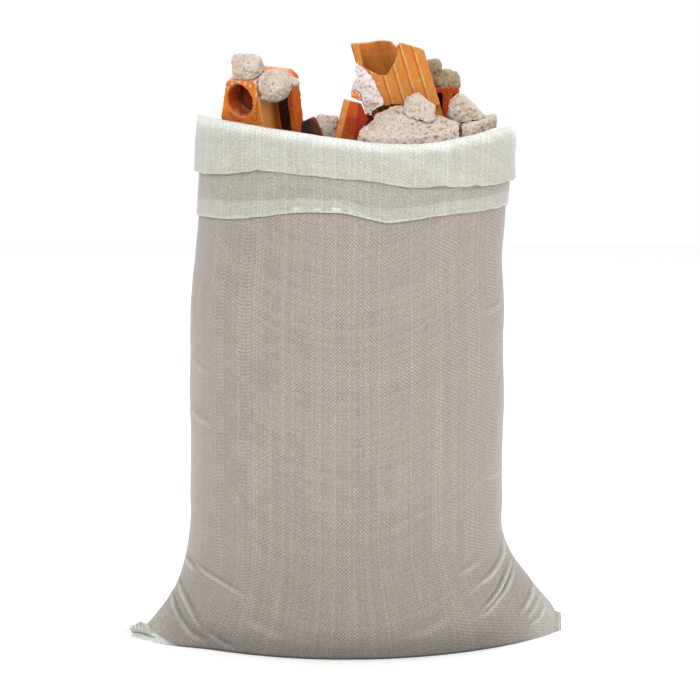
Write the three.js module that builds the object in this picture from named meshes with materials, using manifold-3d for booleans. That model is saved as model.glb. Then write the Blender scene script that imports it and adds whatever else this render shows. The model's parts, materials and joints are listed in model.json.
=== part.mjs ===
// An open woven polypropylene rubble sack, filled with building rubble and standing on its base.
//
// Frame: millimetres, +Z up, origin on the floor at the middle of the sack. The broad front of the
// sack faces -Y and the two bottom corners, its ears, point along X.
//
// The sack is one tube of woven cloth: its bottom is hemmed and sewn flat, and its mouth is rolled
// outwards twice. The cloth is far thinner than the walls here, which are solid stand-ins for it with
// its true outer faces. The cloth is split where it folds: body, outer turn, inner turn and hem.

import * as THREE from 'three';
import { mergeVertices } from 'three/addons/utils/BufferGeometryUtils.js';
import Module from 'manifold-3d';

const wasm = await Module();
wasm.setup();

// ---------------------------------------------------------------- driving dimensions

const WALL = 3; // stand-in wall of the cloth
const GAP = 0.4; // clearance between neighbouring solids
const SIDES = 48; // facets around the sack

const COLUMN_HALF_DEPTH = 163;
const BASE_HALF_DEPTH = 148; // half depth of the flat that rests on the floor
const BASE_CORNER_HEIGHT = 34; // height of the rounding between base and front
const SHOULDER = 500; // above this height the rings follow the slanting rim

const RIM_LEFT = 622;
const RIM_RIGHT = 606;
const RIM_BACK = 584;

const FILL_TOP = 560; // level of the small rubble inside the mouth
const LIFT_FLOOR = 566; // lowest point of the loose pieces

// Half widths of the sack at heights above the floor, ear to mouth, as [height, half width].
const LEFT_PROFILE = [
  [0, 256], [14, 240], [30, 226], [60, 207], [90, 196], [120, 191], [165, 189], [300, 188],
  [413, 186], [457, 181], [500, 177], [533, 174], [560, 172], [620, 171],
];
const RIGHT_PROFILE = [
  [0, 256], [14, 255], [30, 249], [60, 225], [90, 203], [120, 190], [165, 187], [300, 188],
  [413, 187], [457, 185], [500, 188], [533, 190], [563, 191], [606, 194],
];

// Heights along the front of the mouth, as [cosine of the angle from +X, height]: the folded rim, the
// lower fold of the outer turn, and the cut edge of the cloth.
const FRONT_RIM = [
  [-1, RIM_LEFT], [-0.65, 614], [-0.34, 608], [-0.04, 601], [0.2, 596], [0.37, 595], [0.51, 596],
  [0.65, 599.5], [0.8, 605], [0.9, 609.5], [0.95, 610], [1, RIM_RIGHT],
];
const FRONT_FOLD = [
  [-1, 556], [-0.85, 555], [-0.7, 558], [-0.55, 562], [-0.4, 560.5], [-0.2, 556], [0, 553],
  [0.2, 548], [0.36, 544], [0.6, 543], [0.9, 543.5], [1, 546],
];
const FRONT_CUT = [
  [-1, 505], [-0.75, 505], [-0.58, 509], [-0.37, 514.5], [-0.19, 516], [-0.05, 515], [0.1, 509.5],
  [0.26, 503.5], [0.37, 506], [0.51, 509.5], [0.84, 514], [1, 517],
];

const cloth = new THREE.MeshStandardMaterial({ color: 0xb3aaa1, roughness: 0.62, metalness: 0 });
const clothFolded = new THREE.MeshStandardMaterial({ color: 0xcfcec6, roughness: 0.6, metalness: 0 });
const thread = new THREE.MeshStandardMaterial({ color: 0xe4e2da, roughness: 0.7, metalness: 0 });
const brick = new THREE.MeshStandardMaterial({ color: 0xcf6c2a, roughness: 0.85, metalness: 0 });
const mortar = new THREE.MeshStandardMaterial({ color: 0xcbbaa6, roughness: 0.95, metalness: 0 });
const rubble = new THREE.MeshStandardMaterial({ color: 0xa9977f, roughness: 0.95, metalness: 0 });

const object = new THREE.Group();

// ---------------------------------------------------------------- small helpers

const radians = THREE.MathUtils.degToRad;
const smooth = (value, low, high) => THREE.MathUtils.smoothstep(value, low, high);

/** Reads a [position, value] list at a position, easing between its points. */
function profileAt(points, position) {
  if (position <= points[0][0]) return points[0][1];
  for (let i = 1; i < points.length; i += 1) {
    const [start, startValue] = points[i - 1];
    const [end, endValue] = points[i];
    if (position <= end) {
      return THREE.MathUtils.lerp(startValue, endValue, (position - start) / (end - start));
    }
  }
  return points[points.length - 1][1];
}

/** A repeatable number from 0 to 1 for a direction and a seed, smooth over the sphere. */
function ripple(x, y, z, seed) {
  const a = Math.sin(2.1 * x + 1.7 * seed) * Math.cos(1.9 * y - 0.6 * seed);
  const b = Math.sin(3.3 * y + 2.3 * seed) * Math.cos(2.7 * z + 1.1 * seed);
  const c = Math.sin(4.1 * z - 0.9 * seed) * Math.cos(3.7 * x + 0.4 * seed);
  return 0.5 + (a + b + c) / 6;
}

function toSolid(geometry) {
  const bare = geometry.clone();
  bare.deleteAttribute('normal');
  bare.deleteAttribute('uv');
  const merged = mergeVertices(bare, 1e-4);
  const mesh = new wasm.Mesh({
    numProp: 3,
    vertProperties: new Float32Array(merged.attributes.position.array),
    triVerts: new Uint32Array(merged.index.array),
  });
  return new wasm.Manifold(mesh);
}

function toGeometry(solid) {
  const mesh = solid.getMesh();
  const geometry = new THREE.BufferGeometry();
  geometry.setAttribute('position', new THREE.BufferAttribute(new Float32Array(mesh.vertProperties), 3));
  geometry.setIndex(new THREE.BufferAttribute(new Uint32Array(mesh.triVerts), 1));
  geometry.computeVertexNormals();
  return geometry;
}

function addMesh(name, geometry, material, parent = object) {
  const mesh = new THREE.Mesh(geometry, material);
  mesh.name = name;
  parent.add(mesh);
  return mesh;
}

/** A closed solid through rings of equal point counts, listed from the bottom up. */
function loft(rings, bottomCentre, topCentre) {
  const count = rings[0].length;
  const positions = [];
  rings.forEach((ring) => ring.forEach((point) => positions.push(point.x, point.y, point.z)));
  const bottom = rings.length * count;
  positions.push(bottomCentre.x, bottomCentre.y, bottomCentre.z);
  positions.push(topCentre.x, topCentre.y, topCentre.z);
  const last = (rings.length - 1) * count;
  const index = [];
  for (let i = 0; i < count; i += 1) {
    const next = (i + 1) % count;
    for (let level = 0; level < rings.length - 1; level += 1) {
      const low = level * count;
      const high = low + count;
      index.push(low + i, low + next, high + next, low + i, high + next, high + i);
    }
    index.push(bottom, next, i);
    index.push(bottom + 1, last + i, last + next);
  }
  const geometry = new THREE.BufferGeometry();
  geometry.setAttribute('position', new THREE.Float32BufferAttribute(positions, 3));
  geometry.setIndex(index);
  geometry.computeVertexNormals();
  return geometry;
}

/** A closed band around the sack: sections of equal point counts, counted around the axis. */
function band(sections) {
  const size = sections[0].length;
  const positions = [];
  sections.forEach((section) => section.forEach((point) => positions.push(point.x, point.y, point.z)));
  const index = [];
  sections.forEach((section, i) => {
    const here = i * size;
    const there = ((i + 1) % sections.length) * size;
    for (let j = 0; j < size; j += 1) {
      const next = (j + 1) % size;
      index.push(here + j, there + j, there + next, here + j, there + next, here + next);
    }
  });
  const geometry = new THREE.BufferGeometry();
  geometry.setAttribute('position', new THREE.Float32BufferAttribute(positions, 3));
  geometry.setIndex(index);
  geometry.computeVertexNormals();
  return geometry;
}

/** A big block whose near face is a plane, for cutting a solid off beyond that plane. */
function beyondPlane(point, normal) {
  const size = 400;
  const block = new THREE.BoxGeometry(size, size, size);
  block.translate(0, 0, size / 2);
  const turn = new THREE.Quaternion().setFromUnitVectors(
    new THREE.Vector3(0, 0, 1),
    new THREE.Vector3(...normal).normalize(),
  );
  block.applyQuaternion(turn);
  block.translate(...point);
  return toSolid(block);
}

/** An outline in X and Z, drawn out along Y from yStart to yEnd. */
function prismAlongY(outline, yStart, yEnd, holes = []) {
  const shape = new THREE.Shape(outline.map(([x, z]) => new THREE.Vector2(x, z)));
  shape.holes.push(...holes);
  const geometry = new THREE.ExtrudeGeometry(shape, {
    depth: yEnd - yStart,
    bevelEnabled: false,
    curveSegments: 6,
  });
  geometry.rotateX(Math.PI / 2);
  geometry.translate(0, yEnd, 0);
  return geometry;
}

// ---------------------------------------------------------------- the shape of the sack

/** Height of the folded rim at an angle around the mouth; 0 is +X and a quarter turn is +Y. */
function rimHeight(angle) {
  const across = Math.cos(angle);
  const peak = across > 0 ? RIM_RIGHT : RIM_LEFT;
  if (Math.sin(angle) > 0) {
    return RIM_BACK + (peak - RIM_BACK) * Math.abs(across) ** 4.5;
  }
  return profileAt(FRONT_RIM, across);
}

/** How far the front and back stand from the middle at a height. */
function halfDepth(height) {
  if (height < BASE_CORNER_HEIGHT) {
    const rise = height / BASE_CORNER_HEIGHT;
    return BASE_HALF_DEPTH + 10 * Math.sqrt(rise * (2 - rise));
  }
  const foot = 158 + 8 * smooth(height, BASE_CORNER_HEIGHT, 150);
  const column = THREE.MathUtils.lerp(foot, COLUMN_HALF_DEPTH, smooth(height, 150, 380));
  return column - 7 * smooth(height, 400, 560);
}

/** 1 gives an ellipse; more pulls the section to a point at its two side creases. */
function sectionPower(height) {
  return 1 + 0.62 * (1 - smooth(height, 10, 150)) + 0.12 * smooth(height, 480, 600);
}

/** A point of the sack's outer face, moved outwards by an offset. */
function sackPoint(angle, height, offset = 0) {
  const place = straightSackPoint(angle, height, offset);
  place.y += earBend(place.x, height);
  return place;
}

/** How far the left ear is bent to the front. */
function earBend(x, height) {
  return -27 * smooth(-x, 150, 245) * (1 - smooth(height, 0, 80));
}

function straightSackPoint(angle, height, offset) {
  const across = Math.cos(angle);
  const along = Math.sin(angle);
  const halfWidth = profileAt(across > 0 ? RIGHT_PROFILE : LEFT_PROFILE, height);
  const power = sectionPower(height);
  return new THREE.Vector3(
    (halfWidth + offset) * across,
    (halfDepth(height) + offset) * Math.sign(along) * Math.abs(along) ** power,
    height,
  );
}

function angles(count) {
  return Array.from({ length: count }, (_, i) => (2 * Math.PI * i) / count);
}

/** The height of a ring that is level low down and follows the rim towards the mouth. */
function ringHeight(angle, share, top) {
  return SHOULDER + (top(angle) - SHOULDER) * share;
}

const LEVELS = [6, 14, 24, 34, 50, 70, 90, 120, 165, 220, 300, 380, 440, SHOULDER];
const RIM_SHARES = [0.25, 0.5, 0.75, 1];

// ---------------------------------------------------------------- bottom hem

// The hem lies along X under the base, bows forward at the left ear and stands up at the right one.
const HEM_WIDTH = 22;
const HEM_THICKNESS = 2.4;
const HEM_END = 259;
const HEM_ROOM = 4.5; // room around the hem for its stitching
const HEM_STATIONS = 52;

/** Middle, roll angle and travel of the hem at a place along X from -1 to 1. */
function hemStation(place) {
  const x = place * HEM_END;
  const bow = -34 * Math.exp(-(((x + 205) / 32) ** 2)) + earBend(x, 0);
  const roll = radians(74) * smooth(x, 194, 256) + radians(-24) * (1 - smooth(x, -252, -215));
  const clearance = 0.3 + (HEM_THICKNESS / 2) * Math.abs(Math.cos(roll));
  const lift = (HEM_WIDTH / 2) * Math.abs(Math.sin(roll));
  return { x, y: bow, z: clearance + lift, roll };
}

/** The hem strip as a solid, grown by a margin on every side. */
function hemSolid(margin) {
  const halfWidth = HEM_WIDTH / 2 + margin;
  const halfThickness = HEM_THICKNESS / 2 + margin;
  const rings = [];
  for (let i = 0; i <= HEM_STATIONS; i += 1) {
    const station = hemStation((2 * i) / HEM_STATIONS - 1);
    const isEnd = i === 0 || i === HEM_STATIONS;
    const corner = (across, up) => new THREE.Vector3(
      station.x + (isEnd ? Math.sign(station.x) * margin : 0),
      station.y + across * Math.cos(station.roll) - up * Math.sin(station.roll),
      station.z + across * Math.sin(station.roll) + up * Math.cos(station.roll),
    );
    rings.push([
      corner(-halfWidth, -halfThickness),
      corner(halfWidth, -halfThickness),
      corner(halfWidth, halfThickness),
      corner(-halfWidth, halfThickness),
    ]);
  }
  const middle = (ring) => ring[0].clone().add(ring[2]).multiplyScalar(0.5);
  return loft(rings, middle(rings[0]), middle(rings[rings.length - 1]));
}

/** A point above the hem's upper face, for the stitching. */
function aboveHem(place, height, across = 0) {
  const station = hemStation(place);
  const up = HEM_THICKNESS / 2 + height;
  return new THREE.Vector3(
    station.x,
    station.y + across * Math.cos(station.roll) - up * Math.sin(station.roll),
    station.z + across * Math.sin(station.roll) + up * Math.cos(station.roll),
  );
}

const THREAD_RADIUS = 0.8;

function threadTube(points, steps) {
  const section = new THREE.Shape();
  const corners = 8;
  for (let i = 0; i < corners; i += 1) {
    const turn = (2 * Math.PI * i) / corners;
    const place = [THREAD_RADIUS * Math.cos(turn), THREAD_RADIUS * Math.sin(turn)];
    if (i === 0) section.moveTo(...place);
    else section.lineTo(...place);
  }
  section.closePath();
  return new THREE.ExtrudeGeometry(section, {
    steps,
    bevelEnabled: false,
    extrudePath: new THREE.CatmullRomCurve3(points),
  });
}

function addSeam() {
  addMesh('bottom_hem', hemSolid(0), clothFolded);
  const stitchRun = [];
  const stitches = 40;
  for (let i = 0; i <= stitches; i += 1) {
    const place = 0.985 * ((2 * i) / stitches - 1);
    const wave = 0.35 * (i % 2);
    stitchRun.push(aboveHem(place, THREAD_RADIUS + GAP + wave));
  }
  addMesh('seam_stitching', threadTube(stitchRun, 80), thread);
  const left = aboveHem(-1, THREAD_RADIUS + GAP);
  const leftTail = [
    left.clone().add(new THREE.Vector3(-1.2, 0, 0)),
    left.clone().add(new THREE.Vector3(-4, -4, -0.8)),
    left.clone().add(new THREE.Vector3(-6.5, -11, -2.5)),
  ];
  addMesh('seam_thread_tail_left', threadTube(leftTail, 6), thread);
  const right = aboveHem(1, THREAD_RADIUS + GAP, 6);
  const rightTail = [
    right.clone().add(new THREE.Vector3(1.2, 0, 0)),
    right.clone().add(new THREE.Vector3(3.5, -3, 2.5)),
    right.clone().add(new THREE.Vector3(6.5, -5, 3.5)),
  ];
  addMesh('seam_thread_tail_right', threadTube(rightTail, 6), thread);
}

// ---------------------------------------------------------------- sack cloth

/** The cloth's top edge, just under the fold of the outer turn. */
const wallTop = (angle) => rimHeight(angle) - WALL;

function outerSack() {
  const levels = [0, ...LEVELS];
  const rings = levels.map((height) => angles(SIDES).map((angle) => sackPoint(angle, height)));
  RIM_SHARES.forEach((share) => {
    rings.push(angles(SIDES).map((angle) => sackPoint(angle, ringHeight(angle, share, wallTop))));
  });
  return toSolid(loft(rings, new THREE.Vector3(0, 0, 0), new THREE.Vector3(0, 0, RIM_BACK)));
}

const EAR_REACH = 196; // the rubble doesn't reach past here into the ears

/** A point of the sack's inner face, or of something inside it by a further inset. */
function innerPoint(angle, height, inset) {
  const point = sackPoint(angle, height, -inset);
  const belowColumn = 1 - smooth(height, 60, 150);
  const across = Math.cos(angle);
  const along = Math.sin(angle);
  const reach = Math.min(Math.abs(point.x / (across || 1)), EAR_REACH - inset);
  const power = THREE.MathUtils.lerp(sectionPower(height), 1.22, belowColumn);
  const depth = halfDepth(height) - inset - 5 * belowColumn;
  point.x = reach * across;
  point.y = depth * Math.sign(along) * Math.abs(along) ** power;
  return point;
}

/** Solid filling the inside of the sack from a floor level up, past the rim. */
function insideSack(inset, floorLevel, top) {
  const levels = [floorLevel, ...LEVELS.filter((height) => height > floorLevel + 2)];
  const rings = levels.map((height) => angles(SIDES).map((angle) => innerPoint(angle, height, inset)));
  RIM_SHARES.forEach((share) => {
    rings.push(angles(SIDES).map((angle) => innerPoint(angle, ringHeight(angle, share, top), inset)));
  });
  const crown = new THREE.Vector3(0, 0, top(Math.PI / 2));
  return loft(rings, new THREE.Vector3(0, 0, floorLevel), crown);
}

function addSack() {
  const pastRim = (angle) => rimHeight(angle) + 30;
  const hollow = toSolid(insideSack(WALL, WALL, pastRim));
  const ridge = toSolid(hemSolid(WALL + HEM_ROOM));
  const groove = toSolid(hemSolid(HEM_ROOM));
  const shell = outerSack().subtract(hollow.subtract(ridge)).subtract(groove);
  // The groove leaves a crumb of wall under the left ear, which isn't part of the cloth.
  const [body] = shell.decompose().sort((one, other) => other.volume() - one.volume());
  addMesh('sack_body', toGeometry(body), cloth);
}

// The mouth is rolled outwards twice. The outer turn hangs from the rim as a folded double ply and
// the inner turn comes out from under it, with the cut edge of the cloth at its lower end.
const OUTER_TURN_DROP = 44;
const INNER_PLY = 2.5;
const OUTER_PLY = 3.2;

/** Lower fold of the outer turn: deepest at the side creases. */
function outerTurnEdge(angle) {
  const across = Math.cos(angle);
  if (Math.sin(angle) < 0) return profileAt(FRONT_FOLD, across);
  const sideDrop = (across > 0 ? 16 : 22) * Math.abs(across) ** 3;
  const wave = 2.5 * Math.sin(2 * angle) + 1.5 * Math.sin(5 * angle);
  return rimHeight(angle) - OUTER_TURN_DROP - sideDrop + wave;
}

/** Cut edge of the mouth below the outer turn. */
function innerTurnEdge(angle) {
  const across = Math.cos(angle);
  if (Math.sin(angle) < 0) return profileAt(FRONT_CUT, across);
  return 511 + 6 * across + 3 * Math.sin(3 * angle);
}

function addCuffs() {
  const outer = angles(SIDES).map((angle) => {
    const rim = rimHeight(angle);
    const edge = outerTurnEdge(angle);
    const inner = GAP + INNER_PLY + GAP;
    const flare = 3.5 + 1.5 * Math.cos(angle) ** 2;
    const profile = [
      [-WALL - 0.2, rim - WALL + GAP],
      [0.2, rim - WALL + GAP],
      [inner, rim - 6],
      [inner + flare, edge + 1],
      [inner + flare + 0.8, edge],
      [inner + flare + OUTER_PLY - 0.6, edge],
      [inner + flare + OUTER_PLY, edge + 2],
      [inner + OUTER_PLY, rim - 6],
      [inner + 1, rim - 1],
      [0.5, rim],
      [-WALL + 0.6, rim - 0.4],
    ];
    return profile.map(([offset, height]) => sackPoint(angle, height, offset));
  });
  addMesh('mouth_outer_turn', band(outer), clothFolded);
  const inner = angles(SIDES).map((angle) => {
    const top = rimHeight(angle) - 9;
    const edge = innerTurnEdge(angle);
    const middle = outerTurnEdge(angle) - 4;
    const profile = [
      [GAP, top],
      [GAP, middle],
      [GAP + 0.4, edge],
      [GAP + INNER_PLY, edge],
      [GAP + INNER_PLY, middle],
      [GAP + INNER_PLY, top],
    ];
    return profile.map(([offset, height]) => sackPoint(angle, height, offset));
  });
  addMesh('mouth_inner_turn', band(inner), clothFolded);
}

// ---------------------------------------------------------------- rubble inside the sack

/** Level of the small rubble, humped and pitted, at a place inside the mouth. */
function fillLevel(x, y) {
  const lumps = 5 * (ripple(x / 22, y / 22, 1, 3) - 0.5) + 3 * (ripple(x / 9, y / 9, 2, 5) - 0.5);
  return FILL_TOP + lumps;
}

function addFill() {
  const inset = WALL + 1.4;
  const floorLevel = 12;
  const levels = [floorLevel, ...LEVELS.filter((height) => height > floorLevel)];
  const rings = levels.map((height) => angles(SIDES).map((angle) => innerPoint(angle, height, inset)));
  const brim = angles(SIDES).map((angle) => innerPoint(angle, FILL_TOP - 6, inset));
  rings.push(brim);
  [0.9, 0.74, 0.56, 0.36, 0.18].forEach((share) => {
    rings.push(brim.map((point) => {
      const x = point.x * share;
      const y = point.y * share;
      return new THREE.Vector3(x, y, fillLevel(x, y));
    }));
  });
  const crown = new THREE.Vector3(0, 0, fillLevel(0, 0));
  addMesh('rubble_fill', loft(rings, new THREE.Vector3(0, 0, floorLevel), crown), rubble);
}

// ---------------------------------------------------------------- loose rubble at the mouth

/** A boxy, uneven lump: centre, half sizes, seed, and planes that it is broken or bedded on. */
function lumpSolid(centre, halfSizes, seed, planes = [], boxiness = 2.8) {
  const geometry = new THREE.IcosahedronGeometry(1, 2);
  const place = geometry.attributes.position;
  for (let i = 0; i < place.count; i += 1) {
    const x = place.getX(i);
    const y = place.getY(i);
    const z = place.getZ(i);
    const spread = Math.abs(x) ** boxiness + Math.abs(y) ** boxiness + Math.abs(z) ** boxiness;
    const swell = (0.86 + 0.28 * ripple(x, y, z, seed)) * spread ** (-1 / boxiness);
    place.setXYZ(
      i,
      centre[0] + x * halfSizes[0] * swell,
      centre[1] + y * halfSizes[1] * swell,
      centre[2] + z * halfSizes[2] * swell,
    );
  }
  let solid = toSolid(geometry);
  planes.forEach(([point, normal]) => {
    solid = solid.subtract(beyondPlane(point, normal));
  });
  return solid;
}

/** A broken slab over a plan outline, flat below, with its upper face at topAt(x, y). */
function moundSolid(plan, bottom, topAt) {
  const middle = new THREE.Vector2();
  plan.forEach(([x, y]) => middle.add(new THREE.Vector2(x, y).divideScalar(plan.length)));
  const outline = [];
  plan.forEach(([x, y], i) => {
    const [nextX, nextY] = plan[(i + 1) % plan.length];
    [0, 0.5].forEach((share) => {
      outline.push([THREE.MathUtils.lerp(x, nextX, share), THREE.MathUtils.lerp(y, nextY, share)]);
    });
  });
  const ringAt = (share, heightAt) => outline.map(([x, y]) => {
    const placeX = THREE.MathUtils.lerp(middle.x, x, share);
    const placeY = THREE.MathUtils.lerp(middle.y, y, share);
    return new THREE.Vector3(placeX, placeY, heightAt(placeX, placeY));
  });
  const edgeDrop = 2.5; // the upper edge is worn
  const rings = [
    ringAt(1, () => bottom),
    ringAt(1, (x, y) => topAt(x, y) - edgeDrop),
    ...[0.94, 0.78, 0.6, 0.42, 0.24].map((share) => ringAt(share, topAt)),
  ];
  const crown = new THREE.Vector3(middle.x, middle.y, topAt(middle.x, middle.y));
  return toSolid(loft(rings, new THREE.Vector3(middle.x, middle.y, bottom), crown));
}

function roundedCell(x, z, width, height, radius) {
  const hole = new THREE.Path();
  const right = x + width;
  const top = z + height;
  hole.moveTo(x + radius, z);
  hole.absarc(right - radius, z + radius, radius, -Math.PI / 2, 0, false);
  hole.absarc(right - radius, top - radius, radius, 0, Math.PI / 2, false);
  hole.absarc(x + radius, top - radius, radius, Math.PI / 2, Math.PI, false);
  hole.absarc(x + radius, z + radius, radius, Math.PI, 1.5 * Math.PI, false);
  return hole;
}

// Left brick: a broken stub of a hollow brick, its cells running front to back, turned and tipped. The
// front of its right half is gone, which opens the second cell.
const LEFT_BRICK_LENGTH = 44;
const LEFT_BRICK_WALL_END = 55.5; // where the wall between its two cells shows its side

function addLeftBrick() {
  const turned = new THREE.Group();
  turned.position.set(-139.5, -48, LIFT_FLOOR);
  turned.rotation.z = radians(-32);
  const tipped = new THREE.Group();
  tipped.rotation.x = radians(13);
  turned.add(tipped);
  object.add(turned);

  const outline = [
    [0, 40], [0, 57], [3, 64], [9.5, 84], [13, 94], [18, 104], [34, 107], [78, 103], [85, 96],
    [85, 12], [60, 9], [46, 9], [36, 28], [6, 36],
  ];
  const eye = new THREE.Path();
  eye.absellipse(30, 75.5, 17.2, 19.5, 0, 2 * Math.PI, false, radians(12));
  const slit = new THREE.Path();
  slit.moveTo(42.6, 56).lineTo(45, 57).lineTo(49.2, 68).lineTo(48.8, 72).lineTo(45.6, 64).closePath();
  const solid = toSolid(prismAlongY(outline, 0, LEFT_BRICK_LENGTH, [eye, slit]));
  const wallEnd = LEFT_BRICK_WALL_END;
  const secondCell = [[wallEnd, 22], [wallEnd, 93], [60, 97], [72, 96], [77, 90], [77, 22]];
  const brokenEdge = [[47, -5], [46.5, 40], [49, 60], [wallEnd, 84], [wallEnd, 120], [95, 120], [95, -5]];
  const brokenFront = [[wallEnd, -5], [wallEnd, 120], [95, 120], [95, -5]];
  const brokenTop = beyondPlane([0, 0, 98.5], [0, -0.3, 1])
    .intersect(beyondPlane([0, 21, 0], [0, -1, 0]));
  const broken = solid
    .subtract(toSolid(prismAlongY(secondCell, -5, LEFT_BRICK_LENGTH - 7)))
    .subtract(toSolid(prismAlongY(brokenEdge, -5, 3)))
    .subtract(toSolid(prismAlongY(brokenFront, -5, 27)))
    .subtract(brokenTop);
  addMesh('hollow_brick_left', toGeometry(broken), brick, tipped);

  const upper = lumpSolid([39, 12, 110], [18, 14, 18], 4, [[[39, 12, 126], [0.25, -0.1, 1]]], 3.2)
    .subtract(beyondPlane([0, 0, 107.5], [0, 0, -1]).intersect(beyondPlane([0, 19.8, 0], [0, 1, 0])))
    .subtract(beyondPlane([0, 0, 99.2], [0, 0.3, -1]));
  addMesh('mortar_lump_left_upper', toGeometry(upper), mortar, tipped);
  const leftHalf = toSolid(prismAlongY([[-20, -10], [56, -10], [56, 140], [-20, 140]], -GAP, 70));
  const rearHalf = toSolid(prismAlongY([[-20, -10], [120, -10], [120, 140], [-20, 140]], 26.5, 70));
  const smear = lumpSolid([86, 23, 92], [12, 5.5, 6], 11);
  const lower = lumpSolid([76, 8, 92], [18, 16, 19], 7, [[[76, 8, 108], [0.1, 0, 1]]])
    .add(smear)
    .subtract(leftHalf)
    .subtract(rearHalf);
  addMesh('mortar_lump_left_lower', toGeometry(lower), mortar, tipped);
}

// Ribbed brick: stands on end and leans to the left. The front wall is broken away over its left cell
// and below its foot, and ribs run along what is left of it.
const RIBBED_FACE = -73;

function addRibbedBrick() {
  const leaning = new THREE.Group();
  leaning.position.set(45.1, RIBBED_FACE, LIFT_FLOOR + 2.4);
  leaning.rotation.y = radians(-16.8);
  object.add(leaning);

  const width = 79;
  const depth = 68;
  const ribPitch = 13.7;
  const grooves = [4, 3, 2, 1, 0].map((rib) => width - 12.5 - rib * ribPitch);
  const section = new THREE.Shape();
  section.moveTo(0, 2);
  section.lineTo(2, 0);
  grooves.forEach((middle) => {
    section.lineTo(middle - 1.6, 0);
    section.lineTo(middle - 0.7, 1.8);
    section.lineTo(middle + 0.5, 1.8);
    section.lineTo(middle + 1.6, 0);
  });
  section.lineTo(width - 1, 0);
  section.lineTo(width, 1);
  section.lineTo(width, depth);
  section.lineTo(0, depth);
  section.closePath();
  const leftCell = new THREE.Path();
  leftCell.moveTo(10, 7).lineTo(8, 14).lineTo(9, 38).lineTo(14, 44).lineTo(27, 46);
  leftCell.lineTo(31, 44).lineTo(49, 14).lineTo(50, 7).closePath();
  section.holes.push(leftCell);
  section.holes.push(roundedCell(56, 14, 15, 44, 6));
  const length = 160;
  const blank = new THREE.ExtrudeGeometry(section, { depth: length, bevelEnabled: false, curveSegments: 5 });
  const brokenTop = [
    [-5, 141.5], [3, 141.6], [9, 140.4], [19, 138], [31.6, 136.5], [39.4, 134.5], [47, 130.5],
    [48.2, 125.5], [50.2, 122.6], [56.4, 127], [66.5, 120], [84, 108], [84, 180], [-5, 180],
  ];
  const openCell = [
    [9.5, 150], [9, 140], [7, 118], [5.5, 113.5], [13.5, 104.6], [21.5, 98.5], [28.3, 95.8],
    [33.5, 98.6], [46.3, 112], [51, 121.5], [49, 150],
  ];
  const brokenFace = [
    [-5, -5], [-5, 66], [16, 63.5], [30, 60.5], [44, 55], [58, 52], [68.6, 47], [84, 43.5], [84, -5],
  ];
  const brokenFoot = [[-5, -5], [95, -5], [95, -1], [60, 7], [30, 3], [-5, 9]];
  const brokenHeel = [[66, -5], [80, 37], [95, 37], [95, -5]];
  const solid = toSolid(blank)
    .subtract(toSolid(prismAlongY(brokenTop, -5, depth + 5)))
    .subtract(toSolid(prismAlongY(openCell, -5, 20)))
    .subtract(toSolid(prismAlongY(brokenFace, -5, 9)))
    .subtract(toSolid(prismAlongY(brokenFoot, -5, depth + 5)))
    .subtract(toSolid(prismAlongY(brokenHeel, -5, depth + 5)));
  addMesh('ribbed_brick', toGeometry(solid), brick, leaning);
}

// Plaster and mortar that still cling to the front left of the ribbed brick.
function addCrust() {
  const outline = [
    [2.5, 703], [6, 703], [10, 690], [13.5, 679], [16.5, 678], [22, 673.5], [28.6, 668.4], [33, 660],
    [37, 651], [42.7, 639.5], [42.1, 634.5], [34.9, 631.3], [24.5, 622.1], [18.3, 636.5], [14.2, 649],
    [6.5, 653], [8.5, 661], [11.5, 668], [8.5, 677], [4.5, 690],
  ];
  const crust = toSolid(prismAlongY(outline, RIBBED_FACE - 8, RIBBED_FACE - GAP))
    .subtract(beyondPlane([8, RIBBED_FACE - 3, 660], [-1, -1.4, 0.3]))
    .subtract(beyondPlane([34, RIBBED_FACE - 5, 660], [1, -1.2, 0.4]))
    .subtract(beyondPlane([20, RIBBED_FACE - 5, 680], [0, -1, 0.45]));
  addMesh('plaster_crust', toGeometry(crust), mortar);
  const chip = [[1.7, 643], [1.7, 651], [6, 652], [10.5, 649.5], [13, 644], [14, 638.5], [8, 640]];
  const chipSolid = toSolid(prismAlongY(chip, RIBBED_FACE - 10, RIBBED_FACE + 7));
  addMesh('brick_chip_on_crust', toGeometry(chipSolid), brick);
}

function addShard() {
  const outline = [
    [-20, LIFT_FLOOR + 2], [-13.7, 601], [-3.4, 641.6], [15.8, 637.2], [22, 623], [24, 618],
    [16, 596], [10, 574],
  ];
  const shard = toSolid(prismAlongY(outline, -101.2, -90))
    .subtract(beyondPlane([-7, -102, 620], [-1, -0.8, 0.3]));
  addMesh('brick_shard', toGeometry(shard), brick);
}

function addSmallPieces() {
  const dark = [[-54, 576], [-51, 616], [-36.5, 622.5], [-27, 602], [-28, LIFT_FLOOR + 4]];
  addMesh('brick_chip_dark', prismAlongY(dark, -127, -106), brick);
  const chunk = lumpSolid([-23, -70, 600], [15.5, 16, 26], 9, [
    [[-24, -68, 622.5], [0.12, -0.1, 1]],
    [[-23, -70, LIFT_FLOOR + 8], [0, 0, -1]],
  ]);
  addMesh('mortar_chunk', toGeometry(chunk), mortar);
}

// Big mortar slab at the front: a smooth face slopes down to the front left, and the rest is rough and
// rises towards the back, where it carries an upright lump.
const SLAB_PLAN = [
  [13, -147], [60, -141], [108, -121], [129, -107], [127, -92], [106, -86], [66, -84], [46, -85],
  [33, -90], [27, -106], [17, -110], [13, -125],
];
const SLAB_FRONT_TOP = [[12, 606], [40, 601.5], [76, 599.6], [104, 605.5], [129, 613]];
const SLAB_BACK_TOP = [[12, 611], [26, 621], [35, 629], [46, 632.6], [65, 635], [105, 626], [129, 617.6]];

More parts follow.
